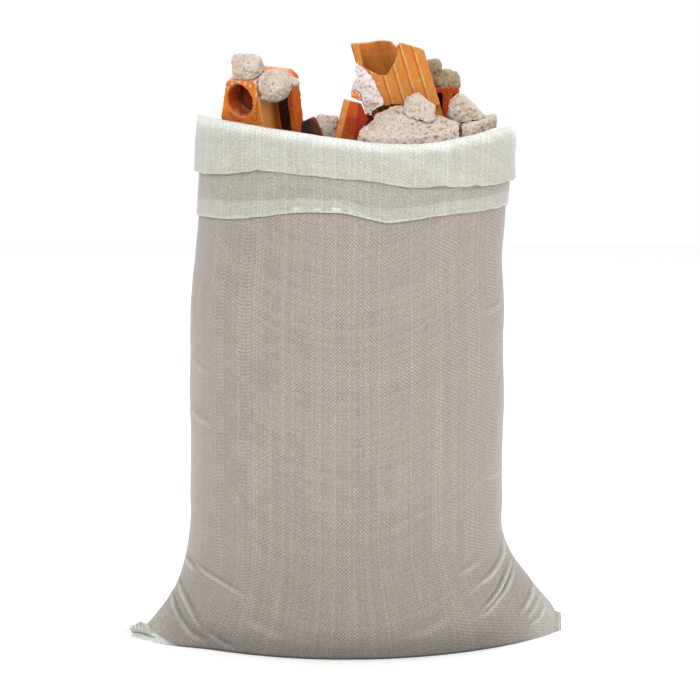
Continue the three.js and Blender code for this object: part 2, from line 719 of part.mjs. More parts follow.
function slabTop(x, y) {
  const front = -147 + 40 * smooth(x, 40, 132);
  const share = THREE.MathUtils.clamp((y - front) / (-86 - front), 0, 1);
  const height = THREE.MathUtils.lerp(profileAt(SLAB_FRONT_TOP, x), profileAt(SLAB_BACK_TOP, x), share);
  const rough = smooth(share + (x - 60) / 160, 0.3, 0.6);
  return height + rough * 7 * (ripple(x / 9, y / 8, 1, 2) - 0.5);
}

function addSlab() {
  addMesh('mortar_slab', toGeometry(moundSolid(SLAB_PLAN, LIFT_FLOOR + 6, slabTop)), mortar);
  const overSlab = moundSolid(SLAB_PLAN, LIFT_FLOOR + 6, (x, y) => slabTop(x, y) + 2.6 + GAP);
  const lump = lumpSolid([83, -98, 627], [18, 12.5, 21.5], 12, [
    [[94, -98, 640], [0.6, 0, 0.8]],
    [[83, -98, 615], [0, 0, -1]],
    [[83, -87, 627], [0, 1, 0]],
  ], 3.0).subtract(overSlab);
  const [upright] = lump.decompose().sort((one, other) => other.volume() - one.volume());
  addMesh('mortar_lump_on_slab', toGeometry(upright), mortar);
}

const RIGHT_PLAN = [
  [131, -98], [150, -84], [166, -60], [174, -38], [173, -22], [160, -10], [141, -18], [131, -52],
];

function addRightMortar() {
  const top = (x, y) => 611.5 + 0.2 * (x - 133) + 0.05 * (y + 98) + 4 * (ripple(x / 8, y / 9, 1, 4) - 0.5);
  addMesh('mortar_block_right', toGeometry(moundSolid(RIGHT_PLAN, LIFT_FLOOR + 8, top)), mortar);
  const overBlock = moundSolid(RIGHT_PLAN, LIFT_FLOOR + 8, (x, y) => top(x, y) + 2.6 + GAP);
  const lump = lumpSolid([138, -58, 626], [22, 19, 23], 15, [
    [[150, -58, 633], [0.7, 0, 0.72]],
    [[138, -58, 612.5], [0, 0, -1]],
    [[120, -58, 640], [-0.7, -0.2, 0.6]],
    [[117, -58, 630], [-1, 0, 0]],
  ]).subtract(overBlock);
  const [upright] = lump.decompose().sort((one, other) => other.volume() - one.volume());
  addMesh('mortar_lump_right', toGeometry(upright), mortar);
}

function addRearBrick() {
  const outline = [[96, 574], [94, 640], [100, 653], [133, 654], [134, 600], [128, LIFT_FLOOR + 2]];
  const front = 10;
  const wideCell = [[102, 584], [102, 646], [113, 647], [113, 584]];
  const narrowCell = [[125.5, 600], [125.5, 646], [129, 646], [129, 600]];
  const block = toSolid(prismAlongY(outline, front, 52))
    .subtract(toSolid(prismAlongY(wideCell, front - 5, front + 30)))
    .subtract(toSolid(prismAlongY(narrowCell, front - 5, front + 30)));
  addMesh('brick_block_rear', toGeometry(block), brick);
  const step = lumpSolid([101, 30, 672], [12, 14, 17], 18, [], 3.2);
  const lump = lumpSolid([117, 30, 661], [17, 18, 15], 6, [], 3.2)
    .add(step)
    .subtract(beyondPlane([112, 30, 654 + GAP], [0, 0, -1]));
  addMesh('mortar_lump_rear', toGeometry(lump), mortar);
}

// Pieces bedded in the small rubble behind the heap.
function addBeddedPieces() {
  const top = FILL_TOP + 5;
  const bed = (x, y) => [[x, y, top], [0, 0, -1]];
  const cobbles = [
    { name: 'mortar_cobble_back_left', centre: [-98, 62, 566], halfSizes: [30, 30, 22], seed: 21 },
    { name: 'mortar_cobble_back_right', centre: [66, 100, 566], halfSizes: [34, 26, 20], seed: 25 },
    { name: 'mortar_cobble_side', centre: [-146, 18, 566], halfSizes: [17, 26, 18], seed: 28 },
    { name: 'mortar_cobble_back', centre: [-58, 114, 566], halfSizes: [26, 18, 17], seed: 33 },
    { name: 'mortar_cobble_middle', centre: [50, 36, 566], halfSizes: [27, 24, 19], seed: 36 },
    { name: 'mortar_cobble_right', centre: [154, 34, 566], halfSizes: [15, 26, 19], seed: 41 },
  ];
  cobbles.forEach(({ name, centre, halfSizes, seed }) => {
    addMesh(name, toGeometry(lumpSolid(centre, halfSizes, seed, [bed(centre[0], centre[1])])), mortar);
  });
  const bat = new THREE.Group();
  bat.position.set(-14, 34, top);
  bat.rotation.z = radians(24);
  object.add(bat);
  const outline = [[-30, 0], [-28, 16], [8, 19], [30, 13], [31, 0]];
  addMesh('brick_bat_back', prismAlongY(outline, 0, 44), brick, bat);
}

addSack();
addCuffs();
addSeam();
addFill();
addLeftBrick();
addRibbedBrick();
addCrust();
addShard();
addSmallPieces();
addSlab();
addRightMortar();
addRearBrick();
addBeddedPieces();

export default object;
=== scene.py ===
"""Looks of a woven rubble sack, filled with broken brick and mortar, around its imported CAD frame.

Metres, +Z up. The broad front of the sack faces -Y and its two ears point along X. The cloth is one
continuous sheet: seam, base, wall, and the mouth rolled outwards twice.
"""

import json
import math

import bmesh
import bpy
import numpy as np
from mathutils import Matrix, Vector, noise


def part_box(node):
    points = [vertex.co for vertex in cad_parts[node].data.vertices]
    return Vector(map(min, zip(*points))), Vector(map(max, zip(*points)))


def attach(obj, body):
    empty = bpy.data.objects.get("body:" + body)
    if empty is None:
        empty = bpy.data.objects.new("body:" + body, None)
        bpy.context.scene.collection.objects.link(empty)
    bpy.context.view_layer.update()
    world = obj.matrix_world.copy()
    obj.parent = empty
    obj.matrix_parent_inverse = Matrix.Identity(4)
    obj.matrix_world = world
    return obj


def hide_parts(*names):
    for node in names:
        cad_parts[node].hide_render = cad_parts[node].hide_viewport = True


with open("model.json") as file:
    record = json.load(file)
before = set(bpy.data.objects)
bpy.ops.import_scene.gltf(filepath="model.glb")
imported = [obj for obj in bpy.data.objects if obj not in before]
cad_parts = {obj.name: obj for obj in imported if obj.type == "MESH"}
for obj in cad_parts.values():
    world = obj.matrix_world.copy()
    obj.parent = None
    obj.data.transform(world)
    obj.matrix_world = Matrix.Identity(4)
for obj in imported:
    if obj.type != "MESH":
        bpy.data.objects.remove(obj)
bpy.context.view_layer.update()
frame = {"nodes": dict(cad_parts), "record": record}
body_of = {node: body for body, nodes in frame["record"]["behaviour"]["bodies"].items() for node in nodes}
MM = 0.001

# ---------- camera

VIEW_DISTANCE = 3.0  # metres from the lens to the middle of the sack
VIEW_HEIGHT = 0.70
VIEW_SIDE = 0.0036  # the camera stands and aims a little to the right
AIM_HEIGHT = 0.3415
LENS = 130.1


def link_object(name, data):
    thing = bpy.data.objects.new(name, data)
    bpy.context.collection.objects.link(thing)
    return thing


def point_at(thing, place, aim):
    """Puts a camera or a lamp at a place and turns it to its aim."""
    thing.location = place
    direction = Vector(aim) - Vector(place)
    thing.rotation_euler = direction.to_track_quat("-Z", "Y").to_euler()


def add_camera():
    data = bpy.data.cameras.new("camera")
    data.lens = LENS
    data.sensor_width = 36
    data.clip_end = 50
    camera = link_object("camera", data)
    point_at(camera, (VIEW_SIDE, -VIEW_DISTANCE, VIEW_HEIGHT), (VIEW_SIDE, 0, AIM_HEIGHT))
    bpy.context.scene.camera = camera


# ---------- node helpers


class Shader:
    """A small builder for one material's node tree."""

    def __init__(self, name):
        self.material = bpy.data.materials.new(name)
        self.material.use_nodes = True
        self.tree = self.material.node_tree
        self.tree.nodes.clear()
        self.surface = self.node("BsdfPrincipled")
        self.node("OutputMaterial", Surface=self.surface.outputs[0])
        self.places = self.node("TexCoord")

    def feed(self, target, values):
        """Gives a node's inputs a number, a colour or a link from another node's output."""
        for name, value in values.items():
            if isinstance(value, bpy.types.NodeSocket):
                self.tree.links.new(value, target.inputs[name])
            elif value is not None:
                target.inputs[name].default_value = value

    def node(self, kind, **values):
        node = self.tree.nodes.new("ShaderNode" + kind)
        self.feed(node, values)
        return node

    def math(self, operation, first, second=None):
        node = self.node("Math")
        node.operation = operation
        self.feed(node, {0: first, 1: second})
        return node.outputs[0]

    def times(self, first, second):
        return self.math("MULTIPLY", first, second)

    def plus(self, first, second):
        return self.math("ADD", first, second)

    def remap(self, value, low, high, to_low=0.0, to_high=1.0):
        """Eases from to_low, where the value is low, to to_high, where it is high."""
        node = self.node("MapRange", **{"Value": value, "From Min": low, "From Max": high,
                                        "To Min": to_low, "To Max": to_high})
        node.interpolation_type = "SMOOTHSTEP"
        return node.outputs["Result"]

    def noise(self, scale, detail, roughness, stretch=None, offset=0.0):
        """Noise over the piece's own places, which may be stretched or moved along."""
        places = self.places.outputs["Object"]
        if stretch or offset:
            places = self.node("Mapping", Vector=places, Scale=stretch or (1, 1, 1),
                               Location=(offset, offset, offset)).outputs[0]
        node = self.node("TexNoise", Vector=places, Scale=scale, Detail=detail, Roughness=roughness)
        return node.outputs["Fac"]

    def mix(self, share, first, second, blend="MIX"):
        """A share of the second colour, over the first."""
        node = self.node("Mix")
        node.data_type = "RGBA"
        node.blend_type = blend
        self.feed(node, {0: share, 6: first, 7: second})
        return node.outputs[2]

    def attribute(self, name):
        node = self.node("Attribute")
        node.attribute_name = name
        return node.outputs["Fac"]

    def facing_up(self):
        """1 where the surface faces up, 0 where it is upright and -1 where it faces down."""
        normal = self.node("NewGeometry").outputs["Normal"]
        return self.node("SeparateXYZ", Vector=normal).outputs["Z"]

    def bump(self, height, strength, distance, under=None):
        """Relief from a height, over any relief under it."""
        return self.node("Bump", Strength=strength, Distance=distance, Height=height,
                         Normal=under).outputs[0]

    def finish(self, colour, roughness, normal=None, sheen=0.0, specular=0.5):
        self.feed(self.surface, {"Base Color": colour, "Roughness": roughness, "Normal": normal,
                                 "Sheen Weight": sheen, "Specular IOR Level": specular})
        return self.material


STUDIO_LIGHT = 1.3  # how much brighter than its own colour a surface looks in this studio


def rgb(red, green, blue):
    """A colour as seen in the studio, 0 to 255, as the linear colour that a shader takes."""
    linear = []
    for level in (red, green, blue):
        share = level / 255
        lifted = share / 12.92 if share <= 0.04045 else ((share + 0.055) / 1.055) ** 2.4
        linear.append(lifted / STUDIO_LIGHT)
    return (*linear, 1.0)


# ---------- materials

TAPE = 2.1 * MM  # width of one woven tape


def weave(shader):
    """Height and tone of a plain weave of flat tapes, from the cloth's own flat coordinates."""
    split = shader.node("SeparateXYZ", Vector=shader.places.outputs["UV"])
    sway = shader.times(shader.math("SUBTRACT", shader.noise(22, 1, 0.4), 0.5), 1.6)
    across = shader.plus(shader.math("DIVIDE", split.outputs["X"], TAPE), sway)
    along = shader.plus(shader.math("DIVIDE", split.outputs["Y"], TAPE), sway)
    warp_number = shader.math("FLOOR", across)
    weft_number = shader.math("FLOOR", along)
    both = shader.plus(warp_number, weft_number)
    warp_over = shader.math("MODULO", shader.math("ABSOLUTE", both), 2.0)
    warp_round = shader.math("SINE", shader.times(shader.math("FRACT", across), math.pi))
    weft_round = shader.math("SINE", shader.times(shader.math("FRACT", along), math.pi))

    def pick(warp, weft):
        node = shader.node("Mix")
        shader.feed(node, {0: warp_over, 2: weft, 3: warp})
        return node.outputs[0]

    def tone(number, seed):
        node = shader.node("TexWhiteNoise")
        node.noise_dimensions = "1D"
        shader.feed(node, {"W": shader.plus(number, seed)})
        return node.outputs["Value"]

    height = pick(warp_round, weft_round)
    warp_tone = tone(warp_number, 0.5)
    tones = pick(warp_tone, tone(weft_number, 311.5))
    bright_tapes = shader.remap(warp_tone, 0.955, 0.965)
    return height, tones, warp_over, bright_tapes


OUTER_TURN = (rgb(193, 191, 179), rgb(201, 200, 189))
UNDER_TURN = (rgb(169, 163, 151), rgb(177, 172, 162))
# Colour of the pale mark: paler rim, folds, hem line, cut edge and creases, and painted glints just above
# the cut edge.
PALE_AND_HIGHLIGHT = rgb(240, 243, 236)


def cloth_material(name, *colours):
    """Woven cloth. The mesh says where it is folded and pale, where painted glints light it and painted
    shade darkens it, and which turn it is on.
    """
    shader = Shader(name)
    mix, remap, times, plus, mark = shader.mix, shader.remap, shader.times, shader.plus, shader.attribute
    grey, warm, pale = (rgb(*colour) for colour in colours)
    height, tones, warp_over, bright_tapes = weave(shader)
    patchy = remap(shader.noise(38, 4, 0.6), 0.3, 0.7)
    hue = shader.noise(13, 3, 0.6, offset=4.4)
    streaks = shader.noise(110, 2, 0.5, stretch=(1, 1, 0.03))
    body = mix(patchy, grey, warm)
    body = mix(remap(hue, 0.5, 0.75, 0, 0.35), body, pale)
    body = mix(remap(streaks, 0.55, 0.72, 0, 0.35), body, pale)
    folded = mix(patchy, *UNDER_TURN)
    outer = mix(patchy, *OUTER_TURN)
    colour = mix(mark("under_turn"), body, folded)
    colour = mix(mark("outer_turn"), colour, outer)
    # Paler places, and painted highlights: the glints above the cut edge.
    colour = mix(mark("pale"), colour, PALE_AND_HIGHLIGHT)
    # Painted shade between the tapes: the weave is darker where its tapes dip.
    relief = remap(height, 0.0, 0.75, 0.80, 1.0)
    contrast = remap(shader.noise(16, 3, 0.6, offset=2.2), 0.36, 0.64, 0.12, 0.34)
    checker = times(shader.math("SUBTRACT", warp_over, 0.5), contrast)
    calm = shader.math("SUBTRACT", 1.0, times(mark("folded"), 0.6))
    checker = times(checker, calm)
    grain = times(relief, plus(checker, 1.0))
    grain = times(grain, remap(tones, 0, 1, 0.91, 1.09))
    grain = plus(grain, times(bright_tapes, 0.06))
    grain = plus(grain, remap(shader.noise(300, 1, 0.5, offset=7.3), 0.66, 0.74, 0, 0.16))
    grain = times(grain, remap(shader.noise(420, 2, 0.7), 0.3, 0.7, 0.88, 1.12))
    # Painted shade from the dark mark.
    grain = times(grain, shader.math("SUBTRACT", 1.0, mark("dark")))
    shade = shader.node("CombineColor", Red=grain, Green=grain, Blue=grain)
    colour = mix(1.0, colour, shade.outputs[0], "MULTIPLY")
    normal = shader.bump(height, 0.3, 0.3 * MM)
    normal = shader.bump(shader.noise(160, 3, 0.6), 0.12, 1.2 * MM, normal)
    roughness = remap(tones, 0, 1, 0.42, 0.6)
    return shader.finish(colour, roughness, normal, sheen=0.1, specular=0.4)


def thread_material(name):
    shader = Shader(name)
    fibres = shader.noise(1800, 2, 0.6)
    colour = shader.mix(fibres, rgb(196, 193, 184), rgb(236, 234, 226))
    return shader.finish(colour, 0.7, shader.bump(fibres, 0.4, 0.3 * MM), sheen=0.3)


HOLLOW_TINT = (0.85, 0.5, 0.42, 1)  # light that has bounced between clay walls
# Near black, for painted shadow deep in the cells.
SHADOW_BLACK = (0.008, 0.007, 0.006, 1)


def clay_material(name, *colours, dusty=0.5):
    """Fired clay: mottled, paler along its worn edges and under its painted highlights, darkened by
    painted shade and painted black shadow in its cells and on shaded sides, with pale dust on it.
    """
    shader = Shader(name)
    mix, remap, times, mark = shader.mix, shader.remap, shader.times, shader.attribute
    deep, plain, bright, dust = (rgb(*colour) for colour in colours)
    blotches = shader.noise(48, 4, 0.65)
    grain = shader.noise(520, 3, 0.75)
    colour = mix(remap(blotches, 0.3, 0.66), deep, plain)
    colour = mix(remap(grain, 0.3, 0.55, 0.4, 0), colour, deep)
    colour = mix(remap(grain, 0.56, 0.75, 0, 0.6), colour, bright)
    # Edge wear, and painted highlights: on the ribs and on the broken wall beside the left brick's oval
    # cell.
    wear_and_highlight = times(mark("edge"), remap(grain, 0.25, 0.6, 0.35, 1))
    colour = mix(wear_and_highlight, colour, bright)
    # Painted shade in the bricks' cells and on their shaded sides, tinted as light bounced between clay
    # walls.
    depth = mark("painted_shade")
    colour = mix(depth, colour, deep)
    colour = mix(1.0, colour, mix(depth, (1, 1, 1, 1), HOLLOW_TINT), "MULTIPLY")
    # Painted black shadow where the black mark says.
    colour = mix(mark("black"), colour, SHADOW_BLACK)
    above = remap(shader.facing_up(), 0.2, 0.9)
    film = times(above, remap(shader.noise(70, 4, 0.7), 0.4, 0.66))
    spots = remap(shader.noise(130, 3, 0.65, offset=1.7), 0.66, 0.72)
    powder = times(shader.math("MAXIMUM", film, spots), dusty)
    colour = mix(powder, colour, dust)
    colour = mix(mark("limy"), colour, dust)
    normal = shader.bump(grain, 0.7, 0.7 * MM)
    normal = shader.bump(shader.noise(1500, 2, 0.6), 0.35, 0.3 * MM, normal)
    colour = mix(remap(shader.noise(1100, 2, 0.6), 0.5, 0.7, 0, 0.3), colour, deep)
    return shader.finish(colour, remap(blotches, 0.2, 0.8, 0.74, 0.92), normal, specular=0.25)


def mortar_material(name, *colours):
    """Set mortar: pale skin, darker sand in places, painted shade in its pits and on its undersides, and
    a few coloured grains.
    """
    shader = Shader(name)
    mix, remap, times, mark = shader.mix, shader.remap, shader.times, shader.attribute
    pale, sandy, stain_and_shade, speck = (rgb(*colour) for colour in colours)
    sand = shader.noise(430, 4, 0.8)
    clouds = shader.noise(60, 4, 0.65)
    colour = mix(remap(clouds, 0.36, 0.62), sandy, pale)
    colour = mix(remap(sand, 0.52, 0.72, 0, 0.7), colour, stain_and_shade)
    colour = mix(remap(sand, 0.28, 0.42, 0.6, 0), colour, pale)
    # Painted shade on the faces turned down.
    below = remap(shader.facing_up(), -0.5, 0.0, 0.6, 0)
    patches = remap(shader.noise(42, 4, 0.7, offset=5.0), 0.56, 0.66, 0, 0.55)
    colour = mix(shader.math("MAXIMUM", below, patches), colour, stain_and_shade)
    # Painted shade in the pits.
    colour = mix(times(mark("cavity"), 0.95), colour, stain_and_shade)
    colour = mix(mark("edge"), colour, pale)
    grains = remap(shader.noise(210, 2, 0.5, offset=9.0), 0.66, 0.70, 0, 0.9)
    colour = mix(grains, colour, speck)
    normal = shader.bump(sand, 0.6, 0.9 * MM)
    normal = shader.bump(shader.noise(140, 4, 0.75), 0.6, 2.2 * MM, normal)
    return shader.finish(colour, remap(clouds, 0.2, 0.8, 0.86, 0.97), normal, specular=0.2)


cloth = cloth_material("woven_cloth", (162, 153, 147), (166, 156, 144), (178, 171, 161))
hem_cloth = cloth_material("hem_cloth", (186, 186, 176), (200, 200, 190), (220, 221, 213))
sewing = thread_material("sewing_thread")
orange_clay = clay_material("orange_clay", (172, 58, 14), (202, 88, 28), (240, 162, 92), (240, 206, 182))
tan_clay = clay_material("tan_clay", (206, 120, 44), (216, 146, 68), (250, 204, 136), (248, 222, 196))
red_clay = clay_material("red_clay", (222, 112, 34), (240, 142, 52), (252, 196, 124), (248, 222, 204))
dark_clay = clay_material("dark_clay", (60, 28, 18), (104, 44, 26), (160, 84, 50), (150, 120, 100),
                          dusty=0.2)
# Darker red clay for the two pieces that sit in shade; part of their darkness is painted shade.
shadowed_clay = clay_material("shadowed_clay", (120, 34, 14), (158, 60, 26), (196, 96, 52), (190, 140, 110),
                          dusty=0.2)
mortar = mortar_material("mortar", (226, 212, 202), (216, 198, 182), (172, 152, 118), (206, 142, 100))
grey_mortar = mortar_material("grey_mortar", (184, 172, 144), (162, 146, 112), (116, 102, 70),
                              (110, 90, 60))
plaster = mortar_material("plaster", (246, 242, 240), (234, 218, 208), (190, 160, 142),
                          (206, 120, 76))

# ---------- the shape of the cloth

# All in millimetres, up to where a mesh is made. Half widths and half depths are of the outer face.
BASE_HALF_DEPTH = 148
FOOT_HALF_DEPTH = 158
COLUMN_HALF_DEPTH = 163
BASE_CORNER_HEIGHT = 34  # the base's rounded corner ends here
SHOULDER = 500  # the wall's rows are level up to here, and follow the rim above it
SHOULDER_SHARE = 0.86  # how far up the wall's run that is
RIM_ROLL = 3.0  # the rim's roll starts this far below its top
RIM_LEFT, RIM_RIGHT, RIM_BACK = 622, 606, 584
HEM_WIDTH = 22
HEM_THICKNESS = 2.4
HEM_END = 259
# Half widths, as (height, half width).
LEFT_PROFILE = (
    (0, 256), (14, 240), (30, 226), (60, 207), (90, 196), (120, 191), (165, 189), (300, 188),
    (413, 186), (457, 181), (500, 177), (533, 174), (560, 172), (620, 171),
)
RIGHT_PROFILE = (
    (0, 256), (14, 255), (30, 249), (60, 225), (90, 203), (120, 190), (165, 187), (300, 188),
    (413, 187), (457, 185), (500, 188), (533, 190), (563, 191), (606, 194),
)
# Heights along the front of the mouth, as (cosine of the angle from +X, height).
FRONT_RIM = (
    (-1, RIM_LEFT), (-0.65, 613.5), (-0.34, 606), (-0.04, 598.5), (0.2, 593), (0.37, 592), (0.51, 593.5),
    (0.65, 598), (0.8, 604), (0.9, 609), (0.95, 610), (1, RIM_RIGHT),
)
FRONT_FOLD = (
    (-1, 556), (-0.85, 555), (-0.7, 558), (-0.55, 562), (-0.4, 560.5), (-0.2, 556), (0, 553),
    (0.2, 548), (0.36, 544), (0.6, 543), (0.9, 543.5), (1, 546),
)
FRONT_CUT = (
    (-1, 505), (-0.75, 505), (-0.58, 509), (-0.37, 514.5), (-0.19, 516), (-0.05, 515), (0.1, 509.5),
    (0.26, 503.5), (0.37, 506), (0.51, 509.5), (0.84, 514), (1, 517),
)


def smooth(value, low, high):
    """Eases from 0 at low to 1 at high."""
    share = np.clip((np.asarray(value, float) - low) / (high - low), 0, 1)
    return share * share * (3 - 2 * share)


def bell(value, middle, width, power=2):
    return np.exp(-(((value - middle) / width) ** power))


def eased_profile(points):
    """A smooth curve through a profile's points, which gives the second number from the first."""
    starts, values = (np.array(column, float) for column in zip(*points))
    slopes = np.gradient(values, starts)

    def read(place):
        place = np.clip(place, starts[0], starts[-1])
        i = np.clip(np.searchsorted(starts, place, "right") - 1, 0, len(starts) - 2)
        span = starts[i + 1] - starts[i]
        t = (place - starts[i]) / span
        return ((1 + 2 * t) * (1 - t) ** 2 * values[i] + t * (1 - t) ** 2 * span * slopes[i]
                + t * t * (3 - 2 * t) * values[i + 1] + t * t * (t - 1) * span * slopes[i + 1])

    return read


left_half_width = eased_profile(LEFT_PROFILE)
right_half_width = eased_profile(RIGHT_PROFILE)
front_rim = eased_profile(FRONT_RIM)
front_fold = eased_profile(FRONT_FOLD)
front_cut = eased_profile(FRONT_CUT)


def rim_height(angle):
    across = np.cos(angle)
    peak = np.where(across > 0, RIM_RIGHT, RIM_LEFT)
    back = RIM_BACK + (peak - RIM_BACK) * np.abs(across) ** 4.5
    return np.where(np.sin(angle) > 0, back, front_rim(across))


def half_depth(height):
    rise = np.clip(height / BASE_CORNER_HEIGHT, 0, 1)
    corner = BASE_HALF_DEPTH + (FOOT_HALF_DEPTH - BASE_HALF_DEPTH) * np.sqrt(rise * (2 - rise))
    foot = FOOT_HALF_DEPTH + 8 * smooth(height, BASE_CORNER_HEIGHT, 150)
    column = foot + (COLUMN_HALF_DEPTH - foot) * smooth(height, 150, 380)
    return np.where(height < BASE_CORNER_HEIGHT, corner, column - 7 * smooth(height, 400, 560))


def section_power(height):
    """1 is an ellipse. More than 1 pinches the two sides to a crease."""
    return 1 + 0.62 * (1 - smooth(height, 10, 150)) + 0.12 * smooth(height, 480, 600)


def ear_bend(x, height):
    """How far along Y the left ear is bent, towards the front."""
    return -27 * smooth(-x, 150, 245) * (1 - smooth(height, 0, 80))


def sack_point(angle, height, offset=0.0):
    """Outer face of the sack at angles and heights in millimetres, moved out by an offset."""
    across, along = np.cos(angle), np.sin(angle)
    half_width = np.where(across > 0, right_half_width(height), left_half_width(height))
    x = (half_width + offset) * across
    y = (half_depth(height) + offset) * np.sign(along) * np.abs(along) ** section_power(height)
    y = y + ear_bend(x, height)
    return np.stack([x, y, np.broadcast_to(height, x.shape)], axis=-1)


def hem_station(x):
    """Bow, middle height and roll of the bottom hem at places along X."""
    bow = -34 * bell(x, -205, 32) + ear_bend(x, 0)
    roll = np.radians(74) * smooth(x, 194, 256) - np.radians(24) * (1 - smooth(x, -252, -215))
    middle = 0.3 + HEM_THICKNESS / 2 * np.abs(np.cos(roll)) + HEM_WIDTH / 2 * np.abs(np.sin(roll))
    return bow, middle, roll


def outer_turn_edge(angle):
    """Height of the outer turn's lower fold."""
    across = np.cos(angle)
    side_drop = np.where(across > 0, 16, 22) * np.abs(across) ** 3
    wave = 2.5 * np.sin(2 * angle) + 1.5 * np.sin(5 * angle)
    back = rim_height(angle) - 44 - side_drop + wave
    return np.where(np.sin(angle) < 0, front_fold(across), back)


def inner_turn_edge(angle):
    """Height of the cut edge, where the inner turn ends."""
    across = np.cos(angle)
    back = 511 + 6 * across + 3 * np.sin(3 * angle)
    return np.where(np.sin(angle) < 0, front_cut(across), back)


# Creases pressed into the front, each a run of (x, z) places in millimetres with its depth and width.
# They fan out of the two ears.
FRONT_CREASES = (
    (((-194, 92), (-187, 88), (-178, 82)), 1.6, 3.2),
    (((-178, 92), (-165, 85), (-146, 78), (-130, 71), (-108, 62)), 1.5, 2.4),
    (((-212, 48), (-207, 37), (-197, 26)), 2.0, 2.2),
    (((-205, 65), (-198, 54), (-189, 42), (-181, 31), (-169, 20)), 2.1, 2.2),
    (((-199, 62), (-187, 44), (-172, 29)), 1.5, 1.8),
    (((-166, 19), (-146, 9), (-128, 4)), 1.2, 2.6),
    (((-203, 30), (-184, 14), (-160, 5)), 1.2, 3.2),
    (((-186, 274), (-172, 267), (-155, 263)), 0.7, 3.5),
    (((-181, 334), (-170, 326), (-158, 322)), 0.5, 3.5),
    (((188, 118), (187, 102), (179, 92), (170, 83), (157, 77), (136, 63)), 1.6, 2.8),
    (((196, 90), (188, 76), (180, 64), (172, 56), (163, 49), (150, 38)), 2.3, 2.2),
    (((201, 84), (195, 72), (188, 62), (178, 54), (166, 43), (138, 35)), 1.7, 2.2),
    (((226, 60), (221, 47), (215, 41), (206, 32)), 1.6, 2.8),
    (((232, 44), (224, 34), (214, 26)), 1.2, 2.4),
    (((240, 34), (230, 22), (212, 15)), 1.0, 2.6),
    (((156, 103), (142, 96), (126, 90)), 0.9, 3.0),
    (((184, 200), (174, 199), (160, 198)), 0.7, 3.2),
    (((182, 402), (172, 396), (158, 394)), 0.6, 3.5),
    (((-120, 40), (-90, 28), (-60, 22)), 0.5, 6.0),
    (((120, 42), (92, 30), (64, 24)), 0.5, 6.0),
)
BACK_CREASES = tuple(
    (tuple((-0.98 * x, z + 5) for x, z in run), 0.95 * depth, width)
    for run, depth, width in FRONT_CREASES
)
CREASE_SHARPNESS = 0.8  # a crease's width as a share of what its row says


def crease_depth(x, z, creases):
    """Signed height of the pressed creases at places of one face of the sack."""
    total = np.zeros_like(x)
    for run, depth, width in creases:
        nearest = np.full_like(x, 1e9)
        aside = np.zeros_like(x)
        share = np.zeros_like(x)
        pieces = len(run) - 1
        for i, ((x0, z0), (x1, z1)) in enumerate(zip(run, run[1:])):
            length = math.hypot(x1 - x0, z1 - z0)
            east, north = (x1 - x0) / length, (z1 - z0) / length
            along = np.clip((x - x0) * east + (z - z0) * north, 0, length)
            gap_x, gap_z = x - x0 - along * east, z - z0 - along * north
            distance = np.hypot(gap_x, gap_z)
            closer = distance < nearest
            side = np.sign(gap_z * east - gap_x * north) * np.sign(east)
            nearest = np.where(closer, distance, nearest)
            aside = np.where(closer, distance * side, aside)
            share = np.where(closer, (i + along / length) / pieces, share)
        fade = smooth(share, -0.15, 0.25) * (1 - smooth(share, 0.6, 1.02))
        width = CREASE_SHARPNESS * width
        ridge, valley = bell(aside, 0, width), bell(aside, 2.0 * width, width)
        total += depth * fade * (ridge - 0.85 * valley)
    return total


def wander(points, size, seed):
    """Smooth noise from -1 to 1 at points in millimetres, with features of a given size."""
    shift = Vector((seed, -seed, 2 * seed))
    values = [noise.noise(Vector(place) + shift) for place in points.reshape(-1, 3) / size]
    return np.array(values).reshape(points.shape[:-1])


COLUMNS = 500
BASE_ROWS = 12
WALL_ROWS = 230
TURNS_START = BASE_ROWS + WALL_ROWS
TURN_ROWS = 100
# Rows of the turns, counted from their start: the rim, the outer turn's lower fold, the top of the
# under turn, the line of the folded-in hem and the cut edge.
RIM_ROW, FOLD_ROW, UNDER_ROW, HEM_ROW, CUT_ROW = 7, 38, 55, 90, 98


def column_angles():
    """Angles around the sack, closer together at the two side creases."""
    even = np.arange(COLUMNS) / COLUMNS * 2 * np.pi
    return even - 0.2 * np.sin(2 * even)


def base_points(angle):
    """From the seam on the floor to the outline where the wall starts to rise."""
    outline = sack_point(angle, np.zeros_like(angle))
    seam_x = np.clip(outline[:, 0] * 0.992, -HEM_END + 4, HEM_END - 4)
    bow, middle, roll = hem_station(seam_x)
    edge = HEM_WIDTH / 2 * np.where(roll < 0, -0.2, 1.0)
    seam = np.stack([seam_x, bow + edge * np.cos(roll), middle + edge * np.sin(roll) + 1.6], axis=-1)
    share = np.linspace(0, 1, BASE_ROWS, endpoint=False)[:, None, None]
    points = seam + (outline - seam) * share
    over_hem = bell(points[..., 1], bow, 15, 4) * (1 - share[..., 0])
    flat = 0.35 + (HEM_THICKNESS + 1.2) * over_hem
    points[..., 2] = np.maximum(flat, points[..., 2] * (1 - share[..., 0]) ** 0.5)
    return points


def wall_points(angle):
    """Up the wall, with close rows low down, to just under the rim."""
    rows = []
    above = rim_height(angle) - RIM_ROLL - SHOULDER
    for part in (np.arange(WALL_ROWS) / (WALL_ROWS - 1)) ** 1.45:
        low = part * SHOULDER / SHOULDER_SHARE
        high = SHOULDER + above * (part - SHOULDER_SHARE) / (1 - SHOULDER_SHARE)
        rows.append(sack_point(angle, np.where(part < SHOULDER_SHARE, low, high), -0.2))
    return np.array(rows)


